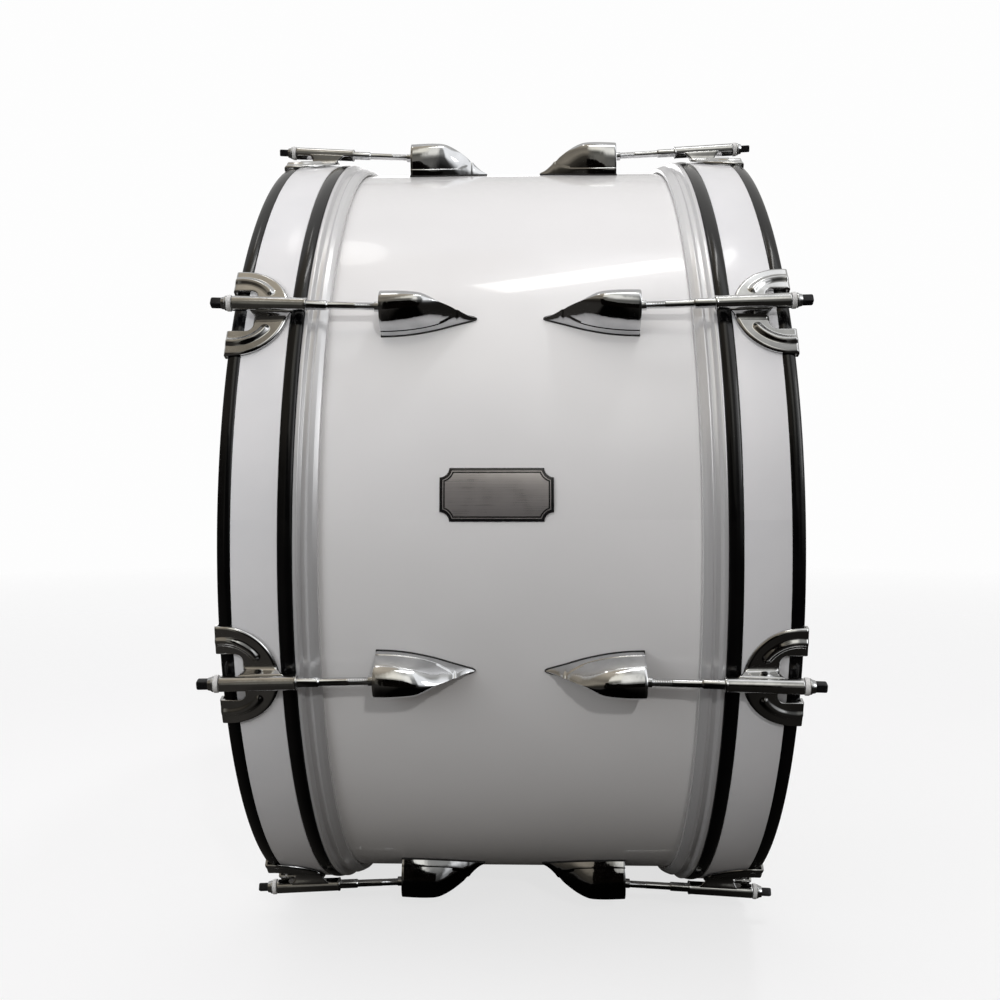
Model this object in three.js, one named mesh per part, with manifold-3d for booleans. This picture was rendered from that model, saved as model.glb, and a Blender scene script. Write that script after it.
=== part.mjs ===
// Marching bass drum, standing on the bottoms of its two wooden hoops.
// Millimetres, +Z up. The drum's axis is level and runs along X; the badge faces -Y.
// X = 0 is the middle of the shell, Y = 0 is the drum's axis, Z = 0 is the ground.
import * as THREE from 'three';
import { mergeVertices } from 'three/addons/utils/BufferGeometryUtils.js';
import Module from 'manifold-3d';

const wasm = await Module();
wasm.setup();

// ---------- driving dimensions ----------
const SIDES = 48;                 // facets round every ring
const ROWS = 8;                   // lugs, rods and claws for each head
const GAP = 0.3;                  // between neighbouring pieces

const SHELL_R = 303.0;            // outside of the wood
const SHELL_THICK = 7.0;
const SHELL_HALF = 152.4;         // half the shell's depth: 305 mm in all
const WRAP_R = 304.0;             // outside of the wrap
const WRAP_HALF = 149.0;

const FILM = 0.5;
const FILM_R = 305.1;             // outside of the head's collar
const FILM_X = 153.25;            // outer face of the head

const HOOP_R = 314.5;             // outside of the wooden hoop
const HOOP_BORE = 306.8;
const HOOP_IN = 138.2;            // edge nearest the lugs
const HOOP_OUT = 186.0;           // free edge
const BEAD_IN = 147.4;            // the inlay's groove runs between the two beads
const BEAD_OUT = 177.5;
const GROOVE_R = 313.0;

const FLESH_IN = 122.6;
const FLESH_OUT = 137.9;
const FLESH_BORE = 305.4;

const ROLL = 3.75;                // degrees: the drum is rolled on until the lugs behind it nearly touch the ground
const BADGE_AT = ROLL - 0.74;     // degrees up from the front
const BRACKET_AT = ROLL + 180;

const LUG_FACE = 86.5;            // X of the lug's rod end
const LUG_LENGTH = 63.7;
const LUG_BASE = WRAP_R + GAP;

const ROD_LEAN = 2.6;             // degrees: the rods lean out from the lugs to the claws
const ROD_R_AT_FACE = 319.2;      // distance of the rod from the drum's axis at the lug's face
const ROD_THIN = 2.65;
const ROD_THICK = 3.3;
const ROD_SIDES = 8;

const HEIGHT = HOOP_R * Math.cos(Math.PI / SIDES);   // the axis stands this far above the ground

// ---------- helpers ----------
const rad = (d) => (d * Math.PI) / 180;

function solid(geometry) {
  const g = geometry.index ? geometry.toNonIndexed() : geometry.clone();
  g.deleteAttribute('normal');
  g.deleteAttribute('uv');
  const w = mergeVertices(g, 1e-4);
  return new wasm.Manifold(new wasm.Mesh({
    numProp: 3,
    vertProperties: Float32Array.from(w.attributes.position.array),
    triVerts: Uint32Array.from(w.index.array),
  }));
}

function geometryOf(manifold) {
  const m = manifold.getMesh();
  const pts = new Float32Array(m.numVert * 3);
  for (let i = 0; i < m.numVert; i++) {
    for (let k = 0; k < 3; k++) pts[3 * i + k] = m.vertProperties[i * m.numProp + k];
  }
  const g = new THREE.BufferGeometry();
  g.setAttribute('position', new THREE.BufferAttribute(pts, 3));
  g.setIndex(new THREE.BufferAttribute(Uint32Array.from(m.triVerts), 1));
  return g;
}

// A ring about the X axis from a closed profile of [x, r] pairs. half = 0 puts a corner of the
// polygon straight up, half = 1 puts the middle of a facet there.
function ring(profile, half = 1) {
  const pts = profile.map(([x, r]) => new THREE.Vector2(r, x));
  const g = new THREE.LatheGeometry(pts, SIDES, half * Math.PI / SIDES);
  g.rotateZ(-Math.PI / 2);
  return g;
}

function closed(profile) {
  return [...profile, profile[0]];
}

// Turns what was built at the top of the drum to an angle up from the front.
function turned(geometry, degrees) {
  return geometry.clone().rotateX(rad(90 - degrees));
}

// Puts a piece built along +Z, with its zero at the lug's face, on the rod's line at the top.
function onRodLine(geometry) {
  geometry.rotateY(rad(90 - ROD_LEAN));
  geometry.translate(LUG_FACE, 0, ROD_R_AT_FACE);
  return geometry;
}

const paint = {
  wood: new THREE.MeshStandardMaterial({ color: 0xb98a55, roughness: 0.6, metalness: 0 }),
  wrap: new THREE.MeshStandardMaterial({ color: 0xe9e8e6, roughness: 0.16, metalness: 0 }),
  lacquer: new THREE.MeshStandardMaterial({ color: 0x0c0c0d, roughness: 0.12, metalness: 0 }),
  inlay: new THREE.MeshStandardMaterial({ color: 0xe2e2e4, roughness: 0.25, metalness: 0 }),
  alloy: new THREE.MeshStandardMaterial({ color: 0xb9bbbd, roughness: 0.3, metalness: 1 }),
  film: new THREE.MeshStandardMaterial({ color: 0xf1f0ec, roughness: 0.45, metalness: 0 }),
  chrome: new THREE.MeshStandardMaterial({ color: 0xc8c9cb, roughness: 0.08, metalness: 1 }),
  steel: new THREE.MeshStandardMaterial({ color: 0xa9aaad, roughness: 0.2, metalness: 1 }),
  badge: new THREE.MeshStandardMaterial({ color: 0xc3c4c4, roughness: 0.35, metalness: 1 }),
};

const drum = new THREE.Group();
drum.name = 'marching_bass_drum';

// Everything is built about the drum's own axis, which this group lifts off the ground.
const axis = new THREE.Group();
axis.position.z = HEIGHT;
drum.add(axis);

// A group whose +Z points out of the drum at an angle up from the front.
function row(degrees) {
  const g = new THREE.Group();
  g.rotation.x = rad(90 - degrees);
  axis.add(g);
  return g;
}

// A group for one head's pieces, which are drawn for the right-hand head; the left one is turned end for end.
function end(left, parent) {
  const g = new THREE.Group();
  if (left) g.rotation.z = Math.PI;
  parent.add(g);
  return g;
}

function add(name, geometry, material, parent = axis) {
  const g = geometry.index ? geometry.clone() : mergeVertices(geometry, 1e-4);
  g.computeVertexNormals();
  const mesh = new THREE.Mesh(g, material.clone());
  mesh.name = name;
  parent.add(mesh);
}

// ---------- shell and wrap ----------
// An air hole goes through the wood and the wrap on the far side, beside the carrier's bracket.
const VENT_R = 6.0;
function vented(geometry) {
  const hole = new THREE.CylinderGeometry(VENT_R, VENT_R, 40, 16);
  hole.rotateX(Math.PI / 2);
  hole.translate(92, 0, SHELL_R - 4);
  return geometryOf(solid(geometry).subtract(solid(turned(hole, BRACKET_AT))));
}

const edge = 4.5;                 // height of the bearing edge's bevels
add('shell', vented(ring(closed([
  [-SHELL_HALF + edge, SHELL_R - SHELL_THICK],
  [-SHELL_HALF, SHELL_R - 2.5],
  [-SHELL_HALF + 2.5, SHELL_R],
  [SHELL_HALF - 2.5, SHELL_R],
  [SHELL_HALF, SHELL_R - 2.5],
  [SHELL_HALF - edge, SHELL_R - SHELL_THICK],
]))), paint.wood);

add('shell_wrap', vented(ring(closed([
  [-WRAP_HALF, SHELL_R + GAP],
  [-WRAP_HALF, WRAP_R],
  [WRAP_HALF, WRAP_R],
  [WRAP_HALF, SHELL_R + GAP],
]))), paint.wrap);

// ---------- hoops, inlays, flesh hoops and heads ----------
for (const left of [true, false]) {
  const side = left ? 'left' : 'right';
  const set = end(left, axis);
  add(`hoop_${side}`, ring(closed([
    [HOOP_OUT, HOOP_BORE],
    [HOOP_IN, HOOP_BORE],
    [HOOP_IN, HOOP_R - 2.3],
    [HOOP_IN + 1.9, HOOP_R],
    [BEAD_IN, HOOP_R],
    [BEAD_IN, GROOVE_R],
    [BEAD_OUT, GROOVE_R],
    [BEAD_OUT, HOOP_R],
    [HOOP_OUT - 1.9, HOOP_R],
    [HOOP_OUT, HOOP_R - 2.3],
  ])), paint.lacquer, set);
  add(`hoop_inlay_${side}`, ring(closed([
    [BEAD_OUT - GAP, GROOVE_R + GAP],
    [BEAD_IN + GAP, GROOVE_R + GAP],
    [BEAD_IN + GAP, HOOP_R - 0.2],
    [BEAD_OUT - GAP, HOOP_R - 0.2],
  ])), paint.inlay, set);
  add(`flesh_hoop_${side}`, ring(closed([
    [FLESH_OUT, FLESH_BORE],
    [FLESH_IN, FLESH_BORE],
    [FLESH_IN, 308.6],
    [129.4, 310.6],
    [134.8, 310.2],
    [135.6, 313.2],
    [FLESH_OUT, 313.2],
  ])), paint.alloy, set);
  add(`head_${side}`, ring([
    [FILM_X - FILM, 0],
    [FILM_X - FILM, 300.65],
    [148.8, FILM_R - FILM],
    [123.4, FILM_R - FILM],
    [123.4, FILM_R],
    [149.0, FILM_R],
    [FILM_X, 300.85],
    [FILM_X, 0],
  ]), paint.film, set);
}

// ---------- one lug, at the top of the drum, for the right-hand head ----------
// Its base is a teardrop and it keeps its height for the first half, then falls in an arc to the tip.
function lugGeometry() {
  const stations = [            // distance from the rod end, half width, height
    [0.0, 14.0, 26.3],
    [16.0, 13.1, 27.0],
    [28.0, 11.3, 25.6],
    [37.0, 9.0, 21.8],
    [47.0, 6.0, 14.0],
    [56.5, 3.1, 5.6],
    [LUG_LENGTH, 0.6, 0.8],
  ];
  const half = [[1.0, 0.0], [0.96, 0.12], [0.86, 0.45], [0.62, 0.77], [0.2, 0.965]];
  const outline = [...half, ...half.slice().reverse().map(([s, h]) => [-s, h])];
  const shape = new THREE.Shape(outline.map(([s, h]) => new THREE.Vector2(s, h)));
  const steps = stations.length - 1;
  const g = new THREE.ExtrudeGeometry(shape, { depth: steps, steps, bevelEnabled: false });
  const p = g.attributes.position;
  for (let i = 0; i < p.count; i++) {
    const [d, w, h] = stations[steps - Math.round(p.getZ(i))];
    p.setXYZ(i, LUG_FACE - d, p.getX(i) * w, LUG_BASE + p.getY(i) * h);
  }
  return g;
}

// The casting is hollow from below, open towards the wrap, and the rod's end reaches into the hollow.
function lugPocket() {
  const g = new THREE.BoxGeometry(1, 1, 1);
  const p = g.attributes.position;
  for (let i = 0; i < p.count; i++) {
    const nearFace = p.getX(i) > 0;
    const low = p.getZ(i) < 0;
    const s = nearFace ? (low ? 10.5 : 5.6) : (low ? 7.4 : 4.4);
    const h = low ? -4 : (nearFace ? 20.5 : 18.6);
    p.setXYZ(i, nearFace ? LUG_FACE - 5 : LUG_FACE - 31, Math.sign(p.getY(i)) * s, LUG_BASE + h);
  }
  return g;
}

const lugBore = onRodLine(new THREE.CylinderGeometry(4.2, 4.2, 20, 8).rotateX(Math.PI / 2).rotateZ(Math.PI / 8));
const lugBody = solid(lugGeometry())
  .subtract(solid(lugPocket()))
  .subtract(solid(lugBore));
const LUG = geometryOf(lugBody);

// ---------- one tension rod with its washer, along +Z from the lug's face ----------
function rodGeometry() {
  const pts = [
    [0, -27], [ROD_THIN, -27], [ROD_THIN, 35], [ROD_THICK, 35.7], [ROD_THICK, 98.3],
    [5.7, 98.3], [5.7, 101.4], [4.5, 102.8], [4.5, 105.4], [0, 105.4],
  ].map(([r, z]) => new THREE.Vector2(r, z));
  const shank = new THREE.LatheGeometry(pts, ROD_SIDES);
  shank.rotateX(Math.PI / 2);
  const head = new THREE.BoxGeometry(5.6, 5.6, 7.4);
  head.translate(0, 0, 105.0 + 3.7);
  return onRodLine(geometryOf(solid(shank).add(solid(head))));
}
const ROD = rodGeometry();

// ---------- one claw, at the top of the drum, for the right-hand head ----------
function clawGeometry() {
  const low = HOOP_R + GAP;
  const high = low + 1.6;
  const out = HOOP_OUT + 2.2;
  const mid = 183.0;            // the fan's arcs are drawn about this X
  const wide = 34.0;
  const window = 171.3;         // X of the opening's inner edge

  const band = ring(closed([
    [out, HOOP_R - 6.5],
    [HOOP_OUT + 0.4, HOOP_R - 6.5],
    [HOOP_OUT + 0.4, low],
    [140, low],
    [140, high],
    [out, high],
  ]), 0);

  const fan = new THREE.Shape();
  fan.moveTo(out + 2, -wide);
  fan.lineTo(out + 2, wide);
  for (let i = 0; i <= 10; i++) {
    const t = rad(90 + 18 * i);
    fan.lineTo(mid + wide * Math.cos(t), wide * Math.sin(t));
  }
  const fanBlock = new THREE.ExtrudeGeometry(fan, { depth: 30, bevelEnabled: false });
  fanBlock.translate(0, 0, 295);

  const opening = new THREE.ExtrudeGeometry(
    new THREE.Shape([[window, -12.5], [window + 4, -16.5], [out + 4, -16.5], [out + 4, 16.5], [window + 4, 16.5], [window, 12.5]]
      .map(([x, y]) => new THREE.Vector2(x, y))), { depth: 40, bevelEnabled: false });
  opening.translate(0, 0, 295);

  // the cradle that the tube lies in
  const web = new THREE.ExtrudeGeometry(
    new THREE.Shape([[-8.4, low + 0.4], [8.4, low + 0.4], [6.4, low + 3.6], [4.9, 321.5], [-4.9, 321.5], [-6.4, low + 3.6]]
      .map(([s, h]) => new THREE.Vector2(s, h))), { depth: 22.6, bevelEnabled: false });
  {
    const p = web.attributes.position;
    for (let i = 0; i < p.count; i++) p.setXYZ(i, 149.2 + p.getZ(i), p.getX(i), p.getY(i));
  }

  // an arched rib is pressed up on each side of the cradle
  const ribs = [95.5, 215].map((from) => {
    const arc = (r, i) => new THREE.Vector2(mid + r * Math.cos(rad(from + 12.375 * i)), r * Math.sin(rad(from + 12.375 * i)));
    const pts = [0, 1, 2, 3, 4].map((i) => arc(27.6, i)).concat([4, 3, 2, 1, 0].map((i) => arc(22.8, i)));
    const g = new THREE.ExtrudeGeometry(new THREE.Shape(pts), { depth: 1.9, bevelEnabled: false });
    g.translate(0, 0, high - 1.3);
    return g;
  });

  const tube = onRodLine(new THREE.CylinderGeometry(5.1, 4.7, 49, 10).rotateX(Math.PI / 2).translate(0, 0, 49 + 24.5));
  const bore = onRodLine(new THREE.CylinderGeometry(4.0, 4.0, 80, 8).rotateX(Math.PI / 2).translate(0, 0, 49 + 24.5));

  return geometryOf(
    solid(band).intersect(solid(fanBlock)).subtract(solid(opening))
      .add(solid(ribs[0]))
      .add(solid(ribs[1]))
      .add(solid(web))
      .add(solid(tube))
      .subtract(solid(bore)),
  );
}
const CLAW = clawGeometry();

for (let k = 0; k < ROWS; k++) {
  const spoke = row(ROLL + 180 / ROWS + (360 / ROWS) * k);
  for (const left of [true, false]) {
    const side = left ? 'left' : 'right';
    const set = end(left, spoke);
    add(`lug_${side}_${k + 1}`, LUG, paint.chrome, set);
    add(`rod_${side}_${k + 1}`, ROD, paint.steel, set);
    add(`claw_${side}_${k + 1}`, CLAW, paint.chrome, set);
  }
}

// ---------- badge: a thin plate with stepped corners, bent to the wrap ----------
{
  const w = 36.7;
  const h = 17.3;
  const n = 5.6;
  const outline = [
    [w, -h + n], [w, h - n], [w - n, h - n], [w - n, h], [-w + n, h], [-w + n, h - n],
    [-w, h - n], [-w, -h + n], [-w + n, -h + n], [-w + n, -h], [w - n, -h], [w - n, -h + n],
  ];
  const plate = new THREE.ExtrudeGeometry(
    new THREE.Shape(outline.map(([x, y]) => new THREE.Vector2(x, y))), { depth: 20, bevelEnabled: false });
  plate.translate(-8.2, 0, 295);
  const skin = ring(closed([[60, WRAP_R + GAP], [-60, WRAP_R + GAP], [-60, WRAP_R + GAP + 1.0], [60, WRAP_R + GAP + 1.0]]), 0);
  skin.rotateX(rad(BADGE_AT - ROLL));
  add('badge', geometryOf(solid(skin).intersect(solid(plate))), paint.badge, row(BADGE_AT));
}

// ---------- bracket that the carrier's hook drops into ----------
{
  const base = new THREE.ExtrudeGeometry(
    new THREE.Shape([[-40, -26], [-32, -31], [32, -31], [40, -26], [40, 26], [32, 31], [-32, 31], [-40, 26]]
      .map(([x, y]) => new THREE.Vector2(x, y))), { depth: 3.0, bevelEnabled: false });
  base.translate(0, 0, WRAP_R + GAP);
  const strap = new THREE.BoxGeometry(50, 24, 11);
  strap.translate(0, 0, WRAP_R + GAP + 2.5 + 5.5);
  const slot = new THREE.BoxGeometry(40, 60, 7.4);
  slot.translate(0, 0, WRAP_R + GAP + 3.0 + 3.7);
  add('carrier_bracket', geometryOf(solid(base).add(solid(strap).subtract(solid(slot)))), paint.chrome, row(BRACKET_AT));
}

export default drum;
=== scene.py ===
"""Marching bass drum: the looks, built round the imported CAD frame.

Pieces are drawn in millimetres about the drum's own axis, for the right-hand head and at the top of the
drum: x runs along the axis, s round the drum and r out from the axis. place() turns them to their row.
"""
import math

import bpy
import numpy as np
from mathutils import Matrix, Vector

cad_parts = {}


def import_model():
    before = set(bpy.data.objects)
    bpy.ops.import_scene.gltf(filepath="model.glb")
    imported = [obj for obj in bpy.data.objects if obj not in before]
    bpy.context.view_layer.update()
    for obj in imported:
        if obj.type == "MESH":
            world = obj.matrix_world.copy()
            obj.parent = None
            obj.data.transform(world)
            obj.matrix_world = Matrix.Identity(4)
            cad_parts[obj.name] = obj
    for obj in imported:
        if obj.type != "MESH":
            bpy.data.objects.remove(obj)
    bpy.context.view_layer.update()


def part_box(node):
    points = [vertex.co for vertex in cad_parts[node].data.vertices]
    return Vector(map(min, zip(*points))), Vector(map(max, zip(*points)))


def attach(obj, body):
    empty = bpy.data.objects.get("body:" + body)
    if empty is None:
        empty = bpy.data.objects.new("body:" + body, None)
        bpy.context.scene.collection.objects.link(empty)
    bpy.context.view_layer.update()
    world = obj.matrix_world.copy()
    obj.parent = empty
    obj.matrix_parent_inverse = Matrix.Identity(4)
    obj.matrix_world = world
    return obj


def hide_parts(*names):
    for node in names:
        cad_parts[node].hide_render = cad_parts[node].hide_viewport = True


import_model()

MM = 0.001
lo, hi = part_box("shell")
AXIS_Z = (lo.z + hi.z) / 2 / MM          # height of the drum's axis above the ground
ROLL = 3.75
ROWS = 8

SHELL_R = 303.0
SHELL_IN = 296.0
SHELL_HALF = 152.4
WRAP_R = 304.0
WRAP_HALF = 149.0
HOOP_R = 313.8                            # the true circle inside the CAD's facets, so that it rests on the ground
HOOP_BORE = 306.8
HOOP_IN = 138.2
HOOP_OUT = 186.0
BEAD_IN = 147.4
BEAD_OUT = 177.5
LUG_FACE = 86.5
LUG_BASE = 304.3
ROD_LEAN = 2.6
ROD_R_AT_FACE = 319.2
BADGE_AT = ROLL - 0.74
BADGE_X = -8.2
BRACKET_AT = ROLL + 180.0
VENT_X = 92.0
SEAM_AT = 229.0                           # degrees: where the wrap overlaps itself


def row_angle(k):
    return ROLL + 22.5 + 45.0 * (k - 1)


def rad(d):
    return d * math.pi / 180


# ---------------------------------------------------------------- mesh helpers
class Build:
    """Collects grids of points into one mesh."""

    def __init__(self):
        self.points, self.faces, self.mats, self.count = [], [], [], 0

    def grid(self, p, wrap_u=False, wrap_v=False, mat=0, flip=False, skip=None):
        """p is (nu, nv, 3). Faces join neighbours; skip(i, j) leaves a face out."""
        p = np.asarray(p, float)
        nu, nv = p.shape[:2]
        base = self.count
        self.points.append(p.reshape(-1, 3))
        self.count += nu * nv
        for i in range(nu if wrap_u else nu - 1):
            a, b = i, (i + 1) % nu
            for j in range(nv if wrap_v else nv - 1):
                if skip is not None and skip(i, j):
                    continue
                c, d = j, (j + 1) % nv
                f = [base + a * nv + c, base + b * nv + c, base + b * nv + d, base + a * nv + d]
                self.faces.append(f[::-1] if flip else f)
                self.mats.append(mat(i, j) if callable(mat) else mat)
        return base

    def fan(self, loop, centre, mat=0, flip=False):
        loop = np.asarray(loop, float)
        base = self.count
        self.points.append(np.vstack([loop, [centre]]))
        n = len(loop)
        self.count += n + 1
        for i in range(n):
            f = [base + i, base + (i + 1) % n, base + n]
            self.faces.append(f[::-1] if flip else f)
            self.mats.append(mat)

    def array(self):
        return np.vstack(self.points)


def place(v, degrees=90.0, left=False):
    """Local points (x, s, r) in mm to the row frame, in metres."""
    v = np.array(v, float)
    if left:
        v[:, 0] *= -1
        v[:, 1] *= -1
    t = rad(90 - degrees)
    c, s = math.cos(t), math.sin(t)
    y = v[:, 1] * c - v[:, 2] * s
    z = v[:, 1] * s + v[:, 2] * c + AXIS_Z
    return np.stack([v[:, 0], y, z], 1) * MM


def mesh_object(name, build, materials, degrees=90.0, left=False, merge=2e-6, sharp=35.0):
    """A clean mesh from what a Build holds, with shared points merged and faces turned outwards."""
    import bmesh

    pts = place(build.array(), degrees, left)
    me = bpy.data.meshes.new(name)
    me.from_pydata([tuple(p) for p in pts], [], build.faces)
    me.polygons.foreach_set("material_index", build.mats)
    for m in materials:
        me.materials.append(m)
    bm = bmesh.new()
    bm.from_mesh(me)
    bmesh.ops.remove_doubles(bm, verts=bm.verts, dist=merge)
    bmesh.ops.dissolve_degenerate(bm, edges=bm.edges, dist=1e-6)
    bmesh.ops.recalc_face_normals(bm, faces=bm.faces)
    for f in bm.faces:
        f.smooth = True
    bm.to_mesh(me)
    bm.free()
    me.update()
    me.set_sharp_from_angle(angle=rad(sharp))
    ob = bpy.data.objects.new(name, me)
    bpy.context.scene.collection.objects.link(ob)
    return ob


def rounded(points, steps=4):
    """Closed outline from (a, b, fillet) corners."""
    out = []
    n = len(points)
    for i in range(n):
        p0, p1, p2 = (np.array(points[(i + k) % n][:2], float) for k in (-1, 0, 1))
        r = points[i][2]
        if r <= 0:
            out.append(p1)
            continue
        u, w = p0 - p1, p2 - p1
        lu, lw = np.linalg.norm(u), np.linalg.norm(w)
        u, w = u / lu, w / lw
        ang = math.acos(max(-1, min(1, float(u @ w))))
        if ang > math.pi - 0.02:
            out.append(p1)
            continue
        cut = min(r / math.tan(ang / 2), 0.49 * lu, 0.49 * lw)
        r = cut * math.tan(ang / 2)
        mid = (u + w) / np.linalg.norm(u + w)
        centre = p1 + mid * (r / math.sin(ang / 2))
        a, b = p1 + u * cut - centre, p1 + w * cut - centre
        a0, a1 = math.atan2(a[1], a[0]), math.atan2(b[1], b[0])
        turn = (a1 - a0 + math.pi) % (2 * math.pi) - math.pi
        for k in range(steps + 1):
            t = a0 + turn * k / steps
            out.append(centre + r * np.array([math.cos(t), math.sin(t)]))
    return np.array(out)


def ring_points(profile, segments, start=0.0, end=360.0, closed=True):
    """(n, m, 3) points of a profile of (x, r) turned about the drum's axis."""
    profile = np.asarray(profile, float)
    n = segments if closed else segments + 1
    t = np.radians(start + (end - start) * np.arange(n) / segments)
    x = np.broadcast_to(profile[None, :, 0], (n, len(profile)))
    r = profile[None, :, 1]
    return np.stack([x, r * np.sin(t)[:, None], r * np.cos(t)[:, None]], -1)


def rod_frame(u, a, b):
    """Points u along the rod's line from the lug's face, a round it in s and b out from it, in local (x, s, r)."""
    c, s = math.cos(rad(ROD_LEAN)), math.sin(rad(ROD_LEAN))
    return np.stack([LUG_FACE + u * c - b * s, a, ROD_R_AT_FACE + u * s + b * c], -1)


def lathe_on_rod(profile, segments, offset=0.0):
    """(n, m, 3): a profile of (u, radius) turned about the rod's line."""
    profile = np.asarray(profile, float)
    t = 2 * math.pi * (np.arange(segments) + offset) / segments
    u = np.broadcast_to(profile[None, :, 0], (segments, len(profile)))
    r = profile[None, :, 1]
    return rod_frame(u, r * np.sin(t)[:, None], r * np.cos(t)[:, None])


def bend(x, s, z):
    """A point s round the drum and z above the wrap, in local (x, s, r), laid on the drum's curve."""
    r = WRAP_R + z
    t = s / WRAP_R
    return np.stack(np.broadcast_arrays(x, r * np.sin(t), r * np.cos(t)), -1)


def curve_through(table):
    """A smooth function through (x, y) pairs that doesn't overshoot them."""
    xs, ys = np.array(table, float).T
    h = np.diff(xs)
    d = np.diff(ys) / h
    m = np.zeros(len(xs))
    m[0], m[-1] = d[0], d[-1]
    for i in range(1, len(xs) - 1):
        if d[i - 1] * d[i] > 0:
            w1, w2 = 2 * h[i] + h[i - 1], h[i] + 2 * h[i - 1]
            m[i] = (w1 + w2) / (w1 / d[i - 1] + w2 / d[i])

    def f(x):
        x = np.clip(np.asarray(x, float), xs[0], xs[-1])
        i = np.clip(np.searchsorted(xs, x, side="right") - 1, 0, len(xs) - 2)
        t = (x - xs[i]) / h[i]
        return (ys[i] * (1 + 2 * t) * (1 - t) ** 2 + h[i] * m[i] * t * (1 - t) ** 2
                + ys[i + 1] * t * t * (3 - 2 * t) + h[i] * m[i + 1] * t * t * (t - 1))

    return f


def smooth(a, b, x):
    t = np.clip((np.asarray(x, float) - a) / (b - a), 0, 1)
    return t * t * (3 - 2 * t)


# ---------------------------------------------------------------- materials
def nodes_of(name):
    m = bpy.data.materials.new(name)
    m.use_nodes = True
    return m, m.node_tree, m.node_tree.nodes["Principled BSDF"]


def node(tree, kind, inputs=None, **props):
    n = tree.nodes.new(kind)
    for k, v in props.items():
        setattr(n, k, v)
    for k, v in (inputs or {}).items():
        if isinstance(v, bpy.types.NodeSocket):
            tree.links.new(v, n.inputs[k])
        else:
            n.inputs[k].default_value = v
    return n


def maths(tree, op, a, b=None, c=None, clamp=False):
    n = node(tree, "ShaderNodeMath", operation=op, use_clamp=clamp)
    for i, v in enumerate((a, b, c)):
        if v is None:
            continue
        if isinstance(v, bpy.types.NodeSocket):
            tree.links.new(v, n.inputs[i])
        else:
            n.inputs[i].default_value = v
    return n.outputs[0]


def object_coords(tree, scale=(1, 1, 1)):
    tc = node(tree, "ShaderNodeTexCoord")
    if scale == (1, 1, 1):
        return tc.outputs["Object"]
    mp = node(tree, "ShaderNodeMapping", {"Vector": tc.outputs["Object"], "Scale": scale})
    return mp.outputs["Vector"]


def drum_coords(tree, along=1.0, round_=1.0, out=1.0):
    """Object coordinates unrolled about the drum's axis: (x, angle times radius, radius), each scaled."""
    tc = node(tree, "ShaderNodeTexCoord")
    sep = node(tree, "ShaderNodeSeparateXYZ", {"Vector": tc.outputs["Object"]})
    z = maths(tree, "SUBTRACT", sep.outputs["Z"], AXIS_Z * MM)
    angle = maths(tree, "ARCTAN2", z, sep.outputs["Y"])
    radius = maths(tree, "SQRT", maths(tree, "ADD", maths(tree, "MULTIPLY", z, z),
                                       maths(tree, "MULTIPLY", sep.outputs["Y"], sep.outputs["Y"])))
    xs = maths(tree, "MULTIPLY", sep.outputs["X"], along)
    an = maths(tree, "MULTIPLY", angle, round_)
    rs = maths(tree, "MULTIPLY", radius, out)
    return node(tree, "ShaderNodeCombineXYZ", {"X": xs, "Y": an, "Z": rs}).outputs[0], sep, angle, radius


def noise(tree, vector, scale, detail=3.0, rough=0.5, distortion=0.0):
    return node(tree, "ShaderNodeTexNoise", {"Vector": vector, "Scale": scale, "Detail": detail,
                                             "Roughness": rough, "Distortion": distortion}).outputs["Fac"]


def spread(tree, value, low, high, from_low=0.3, from_high=0.7):
    n = node(tree, "ShaderNodeMapRange", {"Value": value, "From Min": from_low, "From Max": from_high,
                                          "To Min": low, "To Max": high})
    return n.outputs[0]


def tint(tree, value, low, high, at=(0.3, 0.7)):
    n = node(tree, "ShaderNodeValToRGB", {"Fac": value})
    n.color_ramp.elements[0].position, n.color_ramp.elements[1].position = at
    n.color_ramp.elements[0].color = (*low, 1)
    n.color_ramp.elements[1].color = (*high, 1)
    return n.outputs["Color"]


def bump(tree, bsdf, height, strength, distance, normal=None):
    inputs = {"Height": height, "Strength": strength, "Distance": distance}
    if normal is not None:
        inputs["Normal"] = normal
    n = node(tree, "ShaderNodeBump", inputs)
    tree.links.new(n.outputs["Normal"], bsdf.inputs["Normal"])
    return n.outputs["Normal"]


def chrome(name, low=(0.53, 0.535, 0.545), high=(0.69, 0.695, 0.705), rough=(0.035, 0.10), waves=0.06):
    """Chrome plate: faint cloudiness and hairline wear in the gloss, and slow waves of the casting or pressing under it."""
    m, t, b = nodes_of(name)
    co = object_coords(t)
    cloud = noise(t, co, 70, 4)
    hair = noise(t, object_coords(t, (1400, 220, 220)), 1.0, 2)
    t.links.new(tint(t, cloud, low, high), b.inputs["Base Color"])
    wear = maths(t, "ADD", maths(t, "MULTIPLY", cloud, 0.7), maths(t, "MULTIPLY", hair, 0.3))
    t.links.new(spread(t, wear, *rough), b.inputs["Roughness"])
    b.inputs["Metallic"].default_value = 1.0
    n1 = bump(t, b, noise(t, co, 110, 2), waves, 0.0012)
    bump(t, b, hair, 0.02, 0.0001, n1)
    return m


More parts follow.
